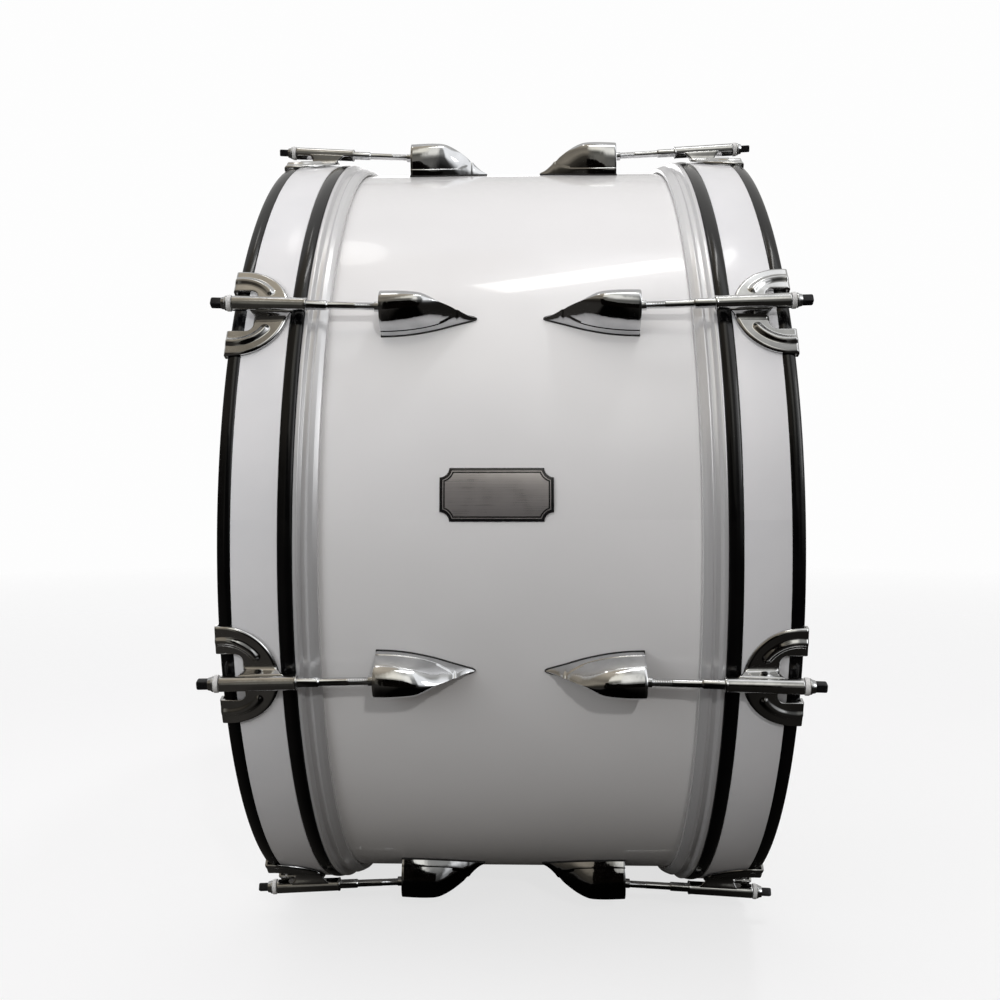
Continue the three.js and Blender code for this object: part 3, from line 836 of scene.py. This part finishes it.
def claw_build():
    b = Build()
    wx, ws, wc = WINDOW_X, WINDOW_S, WINDOW_CORNER
    # the window's edge and the fan's border, as matching lists of points
    n_arm, arc_n, n_mid = 12, 13, 104
    line = []
    for v in np.linspace(-ws + wc, ws - wc, n_mid - 2 * arc_n + 2)[1:-1]:
        line.append((wx, v))
    low_corner = [(wx + wc * (1 - math.sin(t)), -ws + wc * (1 - math.cos(t))) for t in np.linspace(0, math.pi / 2, arc_n)]
    high_corner = [(x, -s) for x, s in low_corner[::-1]]
    mid = low_corner + line + high_corner
    arms = [TIP_X + (wx + wc - TIP_X) * q for q in np.linspace(0, 1, n_arm, endpoint=False)]
    inner = np.array([(x, -ws) for x in arms] + mid + [(x, ws) for x in arms[::-1]])
    share = np.concatenate([np.linspace(0, 0.30, arc_n), np.linspace(0.30, 0.70, len(line) + 2)[1:-1], np.linspace(0.70, 1, arc_n)])
    bow = [(CLAW_MID - CLAW_R * math.cos(t), CLAW_R * math.sin(t)) for t in -math.pi / 2 + math.pi * share]
    arms_out = [TIP_X + (CLAW_MID - TIP_X) * q for q in np.linspace(0, 1, n_arm, endpoint=False)]
    outer = np.array([(x, -CLAW_R) for x in arms_out] + bow + [(x, CLAW_R) for x in arms_out[::-1]])
    # rows are closer together at both edges
    q = np.concatenate([[0, 0.008, 0.018, 0.034], np.linspace(0.055, 0.88, 32), [0.90, 0.918, 0.935, 0.95, 0.963, 0.975, 0.985, 0.993, 0.998, 1.0]])
    nr = len(q)
    XY = inner[None] + (outer - inner)[None] * q[:, None, None]
    X, S = XY[..., 0], XY[..., 1]
    top = on_claw(X, S, CLAW_TOP + claw_relief(X, S))
    low = on_claw(X, S, np.full_like(X, CLAW_LOW))

    # the arms' ends bend down over the hoop's outer face as two ears
    def ear(col):
        s_edge, relief = XY[:, col, 1], claw_relief(XY[:, col, 0], XY[:, col, 1])
        mid_s, half = s_edge.mean(), abs(s_edge[-1] - s_edge[0]) / 2
        T, L = [top[:, col]], [low[:, col]]
        R = 1.8
        for t in np.linspace(0, math.pi / 2, 7)[1:]:
            T.append(on_claw(np.full(nr, TIP_X + R * math.sin(t)), s_edge, CLAW_TOP + relief * math.cos(t) - R * (1 - math.cos(t))))
            L.append(on_claw(np.full(nr, TIP_X + 0.25 * math.sin(t)), s_edge, np.full(nr, CLAW_LOW - 0.25 * (1 - math.cos(t)))))
        for z, pinch in ((2.2, 0.0), (3.6, 0.0), (4.6, 0.25), (5.2, 0.7), (5.6, 1.4), (5.85, 2.4)):
            s = mid_s + (s_edge - mid_s) * (half - pinch) / half
            T.append(on_claw(np.full(nr, TIP_X + R), s, np.full(nr, CLAW_LOW - z)))
            L.append(on_claw(np.full(nr, TIP_X + 0.25), s, np.full(nr, CLAW_LOW - z)))
        T, L = np.array(T), np.array(L)
        b.grid(T)
        b.grid(L, flip=True)
        for p, r in ((T[-1], L[-1]), (T[:, 0], L[:, 0]), (T[:, -1], L[:, -1])):
            b.grid(np.stack([p, r]))

    b.grid(top)
    b.grid(low, flip=True)
    b.grid(np.stack([top[0], low[0]]))
    b.grid(np.stack([top[-1], low[-1]]))
    ear(0)
    ear(-1)

    # the cradle: its sides sweep up from the plate and close round the lower half of the tube
    def rod_r(x):
        return ROD_R_AT_FACE + (x - LUG_FACE) * math.tan(rad(ROD_LEAN))

    # (half width, share of the height from the plate to the rod's line)
    section = [(9.6, -0.03), (9.0, 0.004), (8.4, 0.03), (7.85, 0.075), (7.35, 0.15), (6.95, 0.25), (6.6, 0.37), (6.28, 0.51), (5.98, 0.66), (5.66, 0.81),
               (5.42, 0.92), (5.15, 0.99), (4.75, 1.02), (3.9, 0.98), (2.0, 0.9)]
    n = 17
    cols = []
    for half, h in section:
        t = min(max(h, 0), 1)
        # the inner end leans out to the tube and the outer end leans away from the window
        x0 = 150.2 - 6.6 * t ** 0.8
        x1 = 169.6 + 3.0 * t ** 1.2
        xs = np.concatenate([[x0, x0 + 0.25, x0 + 0.8], np.linspace(x0 + 2.0, x1 - 2.0, n), [x1 - 0.8, x1 - 0.25, x1]])
        ks = np.concatenate([[0.90, 0.965, 0.995], np.ones(n), [0.995, 0.965, 0.90]])
        floor_r = CLAW_TOP - 0.02
        rr = floor_r + (rod_r(xs) - floor_r) * h
        cols.append((xs, half * ks, rr))
    sides = []
    for sign in (1, -1):
        part = [on_claw(xs, sign * hw, rr) for xs, hw, rr in cols]
        sides.append(np.array(part))
    loop = np.concatenate([sides[0], sides[1][::-1]])
    b.grid(loop, wrap_u=True)
    for e in (0, -1):
        b.fan(loop[:, e], loop[:, e].mean(0))

    # tube for the rod, a touch fuller towards its outer end, with eased lips
    tube = rounded([(49.0, 4.0, 0.15), (49.0, 4.95, 0.3), (50.2, 4.95, 0.3), (50.7, 4.72, 0.3), (74, 4.88, 3), (97.2, 5.1, 0.3), (98.0, 5.0, 0.35), (98.0, 4.0, 0.2)], 4)
    b.grid(lathe_on_rod(tube, 40), wrap_u=True, wrap_v=True)
    return b


PARTS = {"lug": lug_build(), "gasket": gasket_build(), "nut": nut_build(), "rod": rod_build(), "washer": washer_build(), "claw": claw_build()}

for left in (True, False):
    side = side_name(left)
    for k in range(1, ROWS + 1):
        deg = row_angle(k)
        tag = f"{side}_{k}"
        finish_piece(mesh_object(f"lug_casting_{tag}", PARTS["lug"], [CHROME_CAST], deg, left, sharp=38), "shell_body", "chrome", f"lug_{tag}")
        finish_piece(mesh_object(f"lug_gasket_{tag}", PARTS["gasket"], [RUBBER], deg, left, sharp=40), "shell_body", "lacquer")
        finish_piece(mesh_object(f"swivel_nut_{tag}", PARTS["nut"], [STEEL], deg, left, sharp=40), "shell_body", "rod_steel")
        finish_piece(mesh_object(f"tension_rod_{tag}", PARTS["rod"], [STEEL, OXIDE], deg, left, sharp=40), f"{side}_rod_{k}", "rod_steel", f"rod_{tag}")
        finish_piece(mesh_object(f"rod_washer_{tag}", PARTS["washer"], [NYLON], deg, left, sharp=40), f"{side}_rod_{k}", "inlay")
        finish_piece(mesh_object(f"claw_hook_{tag}", PARTS["claw"], [CHROME_PRESSED], deg, left, sharp=38), f"{side}_hoop_set", "chrome", f"claw_{tag}")


# ---------------------------------------------------------------- badge
def scalloped(w, h, r, inset, n=7):
    """Rectangle 2w by 2h whose corners are cut by arcs of radius r about them, drawn in by inset."""
    out = []
    for cx, cy, a0 in ((w, h, 180), (-w, h, 270), (-w, -h, 0), (w, -h, 90)):
        rr = r + inset
        lim = math.degrees(math.asin(min(inset / rr, 1)))
        arc = [(cx + rr * math.cos(rad(a)), cy + rr * math.sin(rad(a))) for a in np.linspace(a0 + 90 - lim, a0 + lim, n)]
        out.append(arc)
    pts = []
    for i, arc in enumerate(out):
        pts += arc
        nxt = out[(i + 1) % 4][0]
        last = arc[-1]
        m = 12 if i % 2 == 0 else 6
        pts += [(last[0] + (nxt[0] - last[0]) * q / m, last[1] + (nxt[1] - last[1]) * q / m) for q in range(1, m)]
    return np.array(pts)


def badge():
    w, h, r = 36.7, 17.3, 6.2
    b = Build()

    def loop(inset, z, scale=1.0):
        p = scalloped(w, h, r, inset) * scale
        pillow = 1.0 * np.abs(p[:, 1] / h) ** 3.0 + 0.20 * (p[:, 0] / w) ** 2 if z > 0.5 else 0.0
        return bend(BADGE_X + p[:, 0], p[:, 1], np.full(len(p), z) - pillow)

    top = 1.7
    b.grid(np.stack([loop(0.1, 0.02), loop(0, 0.15), loop(0, top - 0.3), loop(0.1, top - 0.08), loop(0.32, top)]), wrap_v=True, mat=1)
    b.grid(np.stack([loop(0.32, top), loop(1.9, top)]), wrap_v=True, mat=1)
    b.grid(np.stack([loop(1.9, top), loop(1.98, top + 0.1), loop(2.42, top + 0.1), loop(2.5, top)]), wrap_v=True, mat=0)
    b.grid(np.stack([loop(2.5, top), loop(3.45, top)]), wrap_v=True, mat=1)
    b.grid(np.stack([loop(3.45, top), loop(3.55, top + 0.1)] + [loop(3.55, top + 0.1, q) for q in (0.97, 0.93, 0.88, 0.82, 0.75, 0.67, 0.58, 0.48, 0.36, 0.24, 0.12)]), wrap_v=True, mat=0)
    b.fan(loop(3.55, top + 0.1, 0.12), bend(np.array(BADGE_X), np.array(0.0), np.array(top + 0.1)), mat=0)
    b.grid(np.stack([loop(0.1, 0.02)] + [loop(0.1, 0.02, q) for q in (0.8, 0.5, 0.2)]), wrap_v=True, mat=1, flip=True)
    b.fan(loop(0.1, 0.02, 0.2), bend(np.array(BADGE_X), np.array(0.0), np.array(0.02)), mat=1)
    ob = mesh_object("name_badge_blank", b, [BADGE, ENAMEL], BADGE_AT, sharp=30)
    finish_piece(ob, "shell_body", "badge", "badge")


badge()


# ---------------------------------------------------------------- carrier bracket and air vent, on the far side
def plate_outline(a, c, corner, n=6):
    return rounded([(a, c, corner), (-a, c, corner), (-a, -c, corner), (a, -c, corner)], n)


def dense(outline, step=3.0):
    out = []
    for i in range(len(outline)):
        p, q = outline[i], outline[(i + 1) % len(outline)]
        m = max(1, int(np.linalg.norm(q - p) / step))
        out += [p + (q - p) * k / m for k in range(m)]
    return np.array(out)


def laid_plate(b, outline, z0, z1, ease, mat=0, hole=None):
    def loop(shrink, z, scale=1.0):
        c = outline.copy()
        half = np.abs(outline).max(0)
        c = c * (1 - shrink / half) * scale
        return bend(c[:, 0], c[:, 1], np.full(len(c), z))
    b.grid(np.stack([loop(0.15, z0), loop(0, z0 + 0.15), loop(0, z1 - ease), loop(0.3 * ease, z1 - 0.3 * ease), loop(ease, z1)]
                    + [loop(ease, z1, q) for q in (0.96, 0.85, 0.7, 0.5, 0.3, 0.12)]), wrap_v=True, mat=mat)
    b.fan(loop(ease, z1, 0.12), bend(np.array(0.0), np.array(0.0), np.array(z1)), mat=mat)
    b.grid(np.stack([loop(0.15, z0)] + [loop(0.15, z0, q) for q in (0.7, 0.4, 0.15)]), wrap_v=True, mat=mat, flip=True)
    b.fan(loop(0.15, z0, 0.15), bend(np.array(0.0), np.array(0.0), np.array(z0)), mat=mat)


def bracket():
    b = Build()
    laid_plate(b, dense(plate_outline(40.4, 31.4, 7.0)), 0.02, 0.9, 0.2)
    finish_piece(mesh_object("bracket_gasket", b, [RUBBER], BRACKET_AT, sharp=40), "shell_body", "lacquer")

    b = Build()
    laid_plate(b, dense(plate_outline(40.0, 31.0, 7.0)), 0.9, 3.3, 0.6)
    # the strap that the hook drops behind: two feet, two rounded bends and a flat bridge
    z0, z1 = 3.0, HOOP_R + 4.0 - WRAP_R - 0.02
    path = rounded([(-25.0, z0, 0), (-25.0, z1, 3.6), (25.0, z1, 3.6), (25.0, z0, 0), (20.0, z0, 0), (20.4, z1 - 3.1, 2.4), (-20.4, z1 - 3.1, 2.4), (-20.0, z0, 0)], 6)
    rows = []
    for s, k in ((-12.0, 0.5), (-11.85, 0.16), (-11.5, 0.0), (-6, 0.0), (0, 0.0), (6, 0.0), (11.5, 0.0), (11.85, 0.16), (12.0, 0.5)):
        c = path.copy()
        mid = np.array([0, (z0 + z1) / 2])
        inner = (np.abs(path[:, 0]) < 20.6) & (path[:, 1] < z1 - 2.9)
        d = np.zeros_like(c)
        d[:, 0] = np.where(inner, 1, -1) * np.sign(path[:, 0]) * k
        d[:, 1] = np.where(path[:, 1] > z1 - 1, -k, np.where(inner & (path[:, 1] > z1 - 6), k, 0))
        c = c + d
        rows.append(np.stack([c[:, 0], np.full(len(c), s), WRAP_R + c[:, 1]], -1))
    rows = np.array(rows)
    b.grid(rows, wrap_v=True)
    # close each side with a strip between the outer and the inner line of the strap
    n_out = 2 + 2 * 7
    for e in (0, -1):
        line = rows[e]
        outer_line, inner_line = line[:n_out], line[n_out:][::-1]
        k = len(inner_line)
        idx = np.round(np.linspace(0, len(outer_line) - 1, k)).astype(int)
        strip = np.stack([outer_line, np.array([inner_line[min(int(round(i * (k - 1) / (len(outer_line) - 1))), k - 1)] for i in range(len(outer_line))])])
        b.grid(strip)
    finish_piece(mesh_object("carrier_bracket_plate", b, [CHROME_PRESSED], BRACKET_AT, sharp=35), "shell_body", "chrome", "carrier_bracket")

    # four domed screws with a hexagon socket
    for i, (sx, ss) in enumerate(((-32, -21), (32, -21), (32, 21), (-32, 21)), 1):
        b = Build()
        seg = 36
        t = 2 * math.pi * np.arange(seg) / seg
        hexr = 1.75 / np.cos((t + math.pi / 6) % (math.pi / 3) - math.pi / 6)
        prof = [(4.9, 3.2), (4.9, 3.55), (4.75, 3.9), (4.3, 4.35), (3.6, 4.75), (2.9, 4.95)]
        rings = [np.stack([r * np.cos(t), r * np.sin(t), np.full(seg, z)], -1) for r, z in prof]
        for q, z in ((1.12, 5.0), (1.0, 4.9), (1.0, 3.6)):
            rings.append(np.stack([q * hexr * np.cos(t), q * hexr * np.sin(t), np.full(seg, z)], -1))
        rings = np.array(rings)
        tilt = ss / WRAP_R

        def put(p):
            p = np.asarray(p, float)
            y = WRAP_R * math.sin(tilt) + p[..., 1] * math.cos(tilt) + p[..., 2] * math.sin(tilt)
            z = WRAP_R * math.cos(tilt) - p[..., 1] * math.sin(tilt) + p[..., 2] * math.cos(tilt)
            return np.stack([sx + p[..., 0], y, z], -1)

        P = put(rings)
        b.grid(P, wrap_v=True)
        b.fan(P[0], put([0, 0, 3.2]))
        b.fan(P[-1], put([0, 0, 3.6]))
        finish_piece(mesh_object(f"bracket_screw_{i}", b, [STEEL], BRACKET_AT, sharp=40), "shell_body", "rod_steel")


bracket()


def vent():
    """An eyelet pressed through the wrap and the shell, open in the middle."""
    b = Build()
    prof = [(5.2, -8.6), (5.2, 0.6), (5.35, 1.0), (5.8, 1.3), (6.6, 1.45), (7.6, 1.4), (8.6, 1.05), (9.2, 0.55), (9.35, 0.1), (8.8, 0.05), (5.7, 0.05), (5.7, -8.6)]
    seg = 48
    t = 2 * math.pi * np.arange(seg) / seg
    P = np.array([np.stack([VENT_X + r * np.cos(t), r * np.sin(t), WRAP_R + z - np.where(r > 5.75, (r * np.sin(t)) ** 2 / (2 * WRAP_R), 0)], -1) for r, z in prof])
    b.grid(P, wrap_u=True, wrap_v=True)
    finish_piece(mesh_object("air_vent_eyelet", b, [CHROME_PRESSED], BRACKET_AT, sharp=45), "shell_body", "chrome")


vent()


# ---------------------------------------------------------------- floor, light and camera
def stage():
    """A pale floor that fades into the backdrop. It looks light but hardly lights the drum from below, like a floor in shade."""
    n = 96
    me = bpy.data.meshes.new("floor")
    radii = [0, 0.4, 0.8, 1.4, 2.2, 3.2, 4.5, 6.0]
    pts, faces = [(0, 0, 0)], []
    for r in radii[1:]:
        pts += [(r * math.cos(2 * math.pi * i / n), r * math.sin(2 * math.pi * i / n), 0) for i in range(n)]
    for i in range(n):
        faces.append((0, 1 + i, 1 + (i + 1) % n))
    for k in range(1, len(radii) - 1):
        a, c = 1 + (k - 1) * n, 1 + k * n
        for i in range(n):
            faces.append((a + i, c + i, c + (i + 1) % n, a + (i + 1) % n))
    me.from_pydata(pts, [], faces)
    ob = bpy.data.objects.new("floor", me)
    bpy.context.scene.collection.objects.link(ob)
    m = bpy.data.materials.new("floor")
    m.use_nodes = True
    t = m.node_tree
    t.nodes.clear()
    out = node(t, "ShaderNodeOutputMaterial")
    path = node(t, "ShaderNodeLightPath")
    tc = node(t, "ShaderNodeTexCoord")
    length = node(t, "ShaderNodeVectorMath", {0: tc.outputs["Object"]}, operation="LENGTH").outputs["Value"]
    fade = spread(t, length, 0.0, 1.0, 1.0, 4.0)
    lit = node(t, "ShaderNodeBsdfDiffuse", {"Color": (0.24, 0.24, 0.24, 1)})
    glow = node(t, "ShaderNodeEmission", {"Color": (1.0, 1.0, 1.0, 1), "Strength": 0.71})
    seen = node(t, "ShaderNodeAddShader", {0: lit.outputs[0], 1: glow.outputs[0]})
    # what the floor gives back to paint, more on the left, and to metal, hardly any
    across = node(t, "ShaderNodeSeparateXYZ", {"Vector": tc.outputs["Object"]}).outputs["X"]
    back = node(t, "ShaderNodeEmission", {"Color": (1.0, 0.935, 0.87, 1), "Strength": spread(t, across, 0.150, 0.020, -0.6, 0.6)})
    soft = node(t, "ShaderNodeBsdfDiffuse", {"Color": (0.050, 0.048, 0.045, 1)})
    paint = node(t, "ShaderNodeAddShader", {0: back.outputs[0], 1: soft.outputs[0]})
    sideways = maths(t, "MULTIPLY", spread(t, maths(t, "ABSOLUTE", across), 0.03, 1.0, 0.11, 0.22), spread(t, across, 0.034, 0.013, -0.15, 0.15))
    dim = node(t, "ShaderNodeEmission", {"Color": (1.0, 0.93, 0.84, 1), "Strength": sideways})
    clear = node(t, "ShaderNodeBsdfTransparent")
    other = node(t, "ShaderNodeMixShader", {0: path.outputs["Is Glossy Ray"], 1: paint.outputs[0], 2: dim.outputs[0]})
    pick = node(t, "ShaderNodeMixShader", {0: path.outputs["Is Camera Ray"], 1: other.outputs[0], 2: seen.outputs[0]})
    far = node(t, "ShaderNodeMixShader", {0: fade, 1: pick.outputs[0], 2: clear.outputs[0]})
    t.links.new(far.outputs[0], out.inputs["Surface"])
    me.materials.append(m)

    me = bpy.data.meshes.new("dark_card")
    xs, tops = (-0.24, -0.10, 0.0, 0.10, 0.19, 0.27), (0.68, 0.67, 0.50, 0.37, 0.35, 0.34)
    me.from_pydata([(x, -1.03, 0.002 + k * (top - 0.002) / 5) for k in range(6) for x, top in zip(xs, tops)], [], [(j * 6 + i, j * 6 + i + 1, (j + 1) * 6 + i + 1, (j + 1) * 6 + i) for j in range(5) for i in range(5)])
    card = bpy.data.objects.new("dark_card", me)
    bpy.context.scene.collection.objects.link(card)
    m = bpy.data.materials.new("dark_card")
    m.use_nodes = True
    t = m.node_tree
    t.nodes.clear()
    cloud = tint(t, noise(t, object_coords(t), 4, 2), (0.0008, 0.0006, 0.0005), (0.003, 0.0022, 0.0016))
    t.links.new(node(t, "ShaderNodeEmission", {"Color": cloud}).outputs[0], node(t, "ShaderNodeOutputMaterial").inputs["Surface"])
    me.materials.append(m)
    for flag in ("camera", "diffuse", "transmission", "volume_scatter", "shadow"):
        setattr(card, "visible_" + flag, False)


stage()


def world():
    """White to the eye. It lights from above, and mirrors in the chrome as a dim room with a pale band above eye level."""
    w = bpy.data.worlds.new("studio")
    bpy.context.scene.world = w
    w.use_nodes = True
    t = w.node_tree
    t.nodes.clear()
    out = node(t, "ShaderNodeOutputWorld")
    path = node(t, "ShaderNodeLightPath")
    tc = node(t, "ShaderNodeTexCoord")
    sep = node(t, "ShaderNodeSeparateXYZ", {"Vector": tc.outputs["Generated"]})
    x, y, z = sep.outputs
    elev = maths(t, "MULTIPLY", maths(t, "ARCSINE", z), 180 / math.pi)
    az = maths(t, "MULTIPLY", maths(t, "ARCTAN2", x, maths(t, "MULTIPLY", y, -1.0)), 180 / math.pi)

    def step(v, a, b):
        n = node(t, "ShaderNodeMapRange", {"Value": v, "From Min": a, "From Max": b, "To Min": 0.0, "To Max": 1.0}, interpolation_type="SMOOTHSTEP")
        return n.outputs[0]

    def blend(f, a, b):
        n = node(t, "ShaderNodeMix", {"Factor": f}, data_type="RGBA")
        for k, v in ((6, a), (7, b)):
            if isinstance(v, bpy.types.NodeSocket):
                t.links.new(v, n.inputs[k])
            else:
                n.inputs[k].default_value = (*v, 1)
        return n.outputs[2]

    # what polished metal sees, by elevation: straight ahead, to the left and to the right of the camera, and behind the drum
    def bands(stops, hue):
        n = node(t, "ShaderNodeValToRGB", {"Fac": maths(t, "MULTIPLY_ADD", elev, 1 / 180, 0.5)})
        ramp = n.color_ramp
        while len(ramp.elements) < len(stops):
            ramp.elements.new(0.5)
        for e, (at, v) in zip(ramp.elements, stops):
            e.position = (at + 90) / 180
            e.color = (1.1 * v * hue[0], 1.1 * v * hue[1], 1.1 * v * hue[2], 1)
        return n.outputs["Color"]

    ahead_l = bands([(-90, 0.03), (-30, 0.10), (-8, 0.15), (14, 0.17), (29, 0.10), (36, 0.42), (44, 1.02), (60, 1.06), (69, 0.84), (80, 0.60), (90, 0.46)], (1.0, 0.965, 0.85))
    ahead_r = bands([(-90, 0.03), (-30, 0.08), (-8, 0.13), (9, 0.12), (17, 0.30), (25, 0.85), (34, 1.08), (58, 1.04), (68, 0.60), (80, 0.38), (90, 0.36)], (1.0, 0.985, 0.92))
    left = bands([(-90, 0.05), (-60, 0.036), (-35, 0.014), (-8, 0.012), (12, 0.05), (27, 0.26), (44, 0.19), (58, 0.33), (72, 0.50), (90, 0.55)], (1.0, 0.89, 0.72))
    right = bands([(-90, 0.017), (-60, 0.014), (-35, 0.008), (-8, 0.012), (12, 0.08), (27, 0.30), (44, 0.32), (58, 0.60), (72, 0.88), (90, 1.0)], (1.0, 1.0, 0.97))
    wall = bands([(-90, 0.03), (-12, 0.05), (4, 0.30), (16, 1.15), (80, 1.15), (90, 1.0)], (0.98, 0.99, 1.0))
    behind = bands([(-90, 0.03), (-5, 0.05), (12, 0.45), (60, 0.55), (90, 0.70)], (1.0, 0.99, 0.97))
    turn = maths(t, "ABSOLUTE", az)
    ahead = blend(step(az, -4.0, 4.0), ahead_l, ahead_r)
    room = blend(step(az, -10.0, 10.0), left, right)
    room = blend(step(az, 29.0, 37.0), room, wall)
    room = blend(step(az, 66.0, 80.0), room, right)
    room = blend(step(turn, 8.0, 16.0), ahead, room)
    room = blend(step(turn, 76.0, 93.0), room, behind)
    mirror = node(t, "ShaderNodeBackground", {"Color": room, "Strength": 1.0})
    # what lights the matt and painted surfaces
    low = blend(step(x, -1.0, 1.0), (0.108, 0.102, 0.102), (0.004, 0.0038, 0.0036))
    high = blend(step(x, -1.0, 1.0), (0.83, 0.812, 0.838), (0.23, 0.225, 0.232))
    sky = blend(step(z, -0.5, 0.75), low, high)
    # soft light from both ends, a little from behind, for the two heads
    beside = maths(t, "MULTIPLY_ADD", maths(t, "ABSOLUTE", x), 0.94, maths(t, "MULTIPLY", y, 0.34))
    ends = blend(step(x, -0.5, 0.5), (4.3, 4.28, 4.20), (6.8, 6.76, 6.65))
    sky = blend(step(beside, 0.88, 0.99), sky, ends)
    soft = node(t, "ShaderNodeBackground", {"Color": sky, "Strength": 1.0})
    white = node(t, "ShaderNodeBackground", {"Color": (1.0, 1.0, 1.0, 1), "Strength": 0.985})
    mix1 = node(t, "ShaderNodeMixShader", {0: path.outputs["Is Glossy Ray"]})
    t.links.new(soft.outputs[0], mix1.inputs[1])
    t.links.new(mirror.outputs[0], mix1.inputs[2])
    mix2 = node(t, "ShaderNodeMixShader", {0: path.outputs["Is Camera Ray"]})
    t.links.new(mix1.outputs[0], mix2.inputs[1])
    t.links.new(white.outputs[0], mix2.inputs[2])
    t.links.new(mix2.outputs[0], out.inputs["Surface"])


world()


def area(name, at, target, size, radiance, color=(1, 1, 1), spin=0.0, diffuse=True, glossy=True):
    d = bpy.data.lights.new(name, "AREA")
    d.shape = "RECTANGLE"
    d.size, d.size_y = size
    d.energy = radiance * math.pi * size[0] * size[1]
    d.color = color
    ob = bpy.data.objects.new(name, d)
    bpy.context.scene.collection.objects.link(ob)
    at, target = Vector(at), Vector(target)
    ob.location = at
    ob.rotation_mode = "QUATERNION"
    ob.rotation_quaternion = (target - at).to_track_quat("-Z", "Y") @ Matrix.Rotation(rad(spin), 3, "Z").to_quaternion()
    ob.visible_diffuse = diffuse
    ob.visible_glossy = glossy
    ob.visible_camera = False
    return ob


# soft light for the paint
area("overhead", (-0.15, -0.75, 2.1), (0, 0, 0.3), (1.9, 1.3), 1.08, (1.0, 0.955, 0.945), glossy=False)
area("window_front", (-0.80, -1.05, 0.55), (0, 0, 0.30), (0.60, 0.60), 2.1, (0.95, 0.98, 1.0), glossy=False)
area("window_high", (0.55, -0.22, 2.2), (0, 0, 0.35), (0.20, 0.20), 56.0, (0.98, 0.985, 1.0), glossy=False)
area("window_near", (0.55, -2.50, 1.32), (0, 0, 0.30), (0.11, 0.11), 315.0, (1.0, 0.985, 0.975), glossy=False)
# ceiling lamps that show as highlights
area("lamp_right", (0.155, -0.585, 2.2), (0.155, -0.585, 0.0), (0.60, 0.14), 7.0, (1.0, 0.99, 0.97), spin=38.0, diffuse=False)
area("lamp_left", (-0.40, -0.235, 2.2), (-0.40, -0.235, 0.0), (0.17, 0.36), 1.9, (1.0, 0.99, 0.97), diffuse=False).data.shape = "ELLIPSE"
area("window_right", (1.9, -1.6, 1.2), (0, 0, 0.35), (0.5, 1.1), 2.0, diffuse=False)
area("window_back", (-0.6, 2.6, 1.5), (0, 0, 0.35), (1.4, 0.9), 1.5, diffuse=True)


def camera():
    """The photograph's viewpoint: about 0.97 m in front of the axis and a little above it. The photograph was cut out
    and put lower on its canvas than it was taken, which the vertical shift follows."""
    yaw, pitch, roll = rad(1.5175), rad(3.2657), rad(-0.014)
    ry = np.array([[math.cos(yaw), math.sin(yaw), 0], [-math.sin(yaw), math.cos(yaw), 0], [0, 0, 1]])
    rx = np.array([[1, 0, 0], [0, math.cos(pitch), math.sin(pitch)], [0, -math.sin(pitch), math.cos(pitch)]])
    rr = np.array([[math.cos(roll), 0, math.sin(roll)], [0, 1, 0], [-math.sin(roll), 0, math.cos(roll)]])
    m = rr @ rx @ ry
    right, forward, up = m
    d = bpy.data.cameras.new("camera")
    d.sensor_width = 36.0
    d.sensor_fit = "AUTO"
    d.lens = 37.37
    d.shift_y = -0.0656
    d.clip_start, d.clip_end = 0.01, 100
    ob = bpy.data.objects.new("camera", d)
    bpy.context.scene.collection.objects.link(ob)
    ob.matrix_world = Matrix([
        [right[0], up[0], -forward[0], 0.01158],
        [right[1], up[1], -forward[1], -0.96971],
        [right[2], up[2], -forward[2], 0.33051],
        [0, 0, 0, 1]])
    bpy.context.scene.camera = ob


camera()
bpy.context.scene.view_settings.view_transform = "Standard"
bpy.context.scene.view_settings.look = "None"
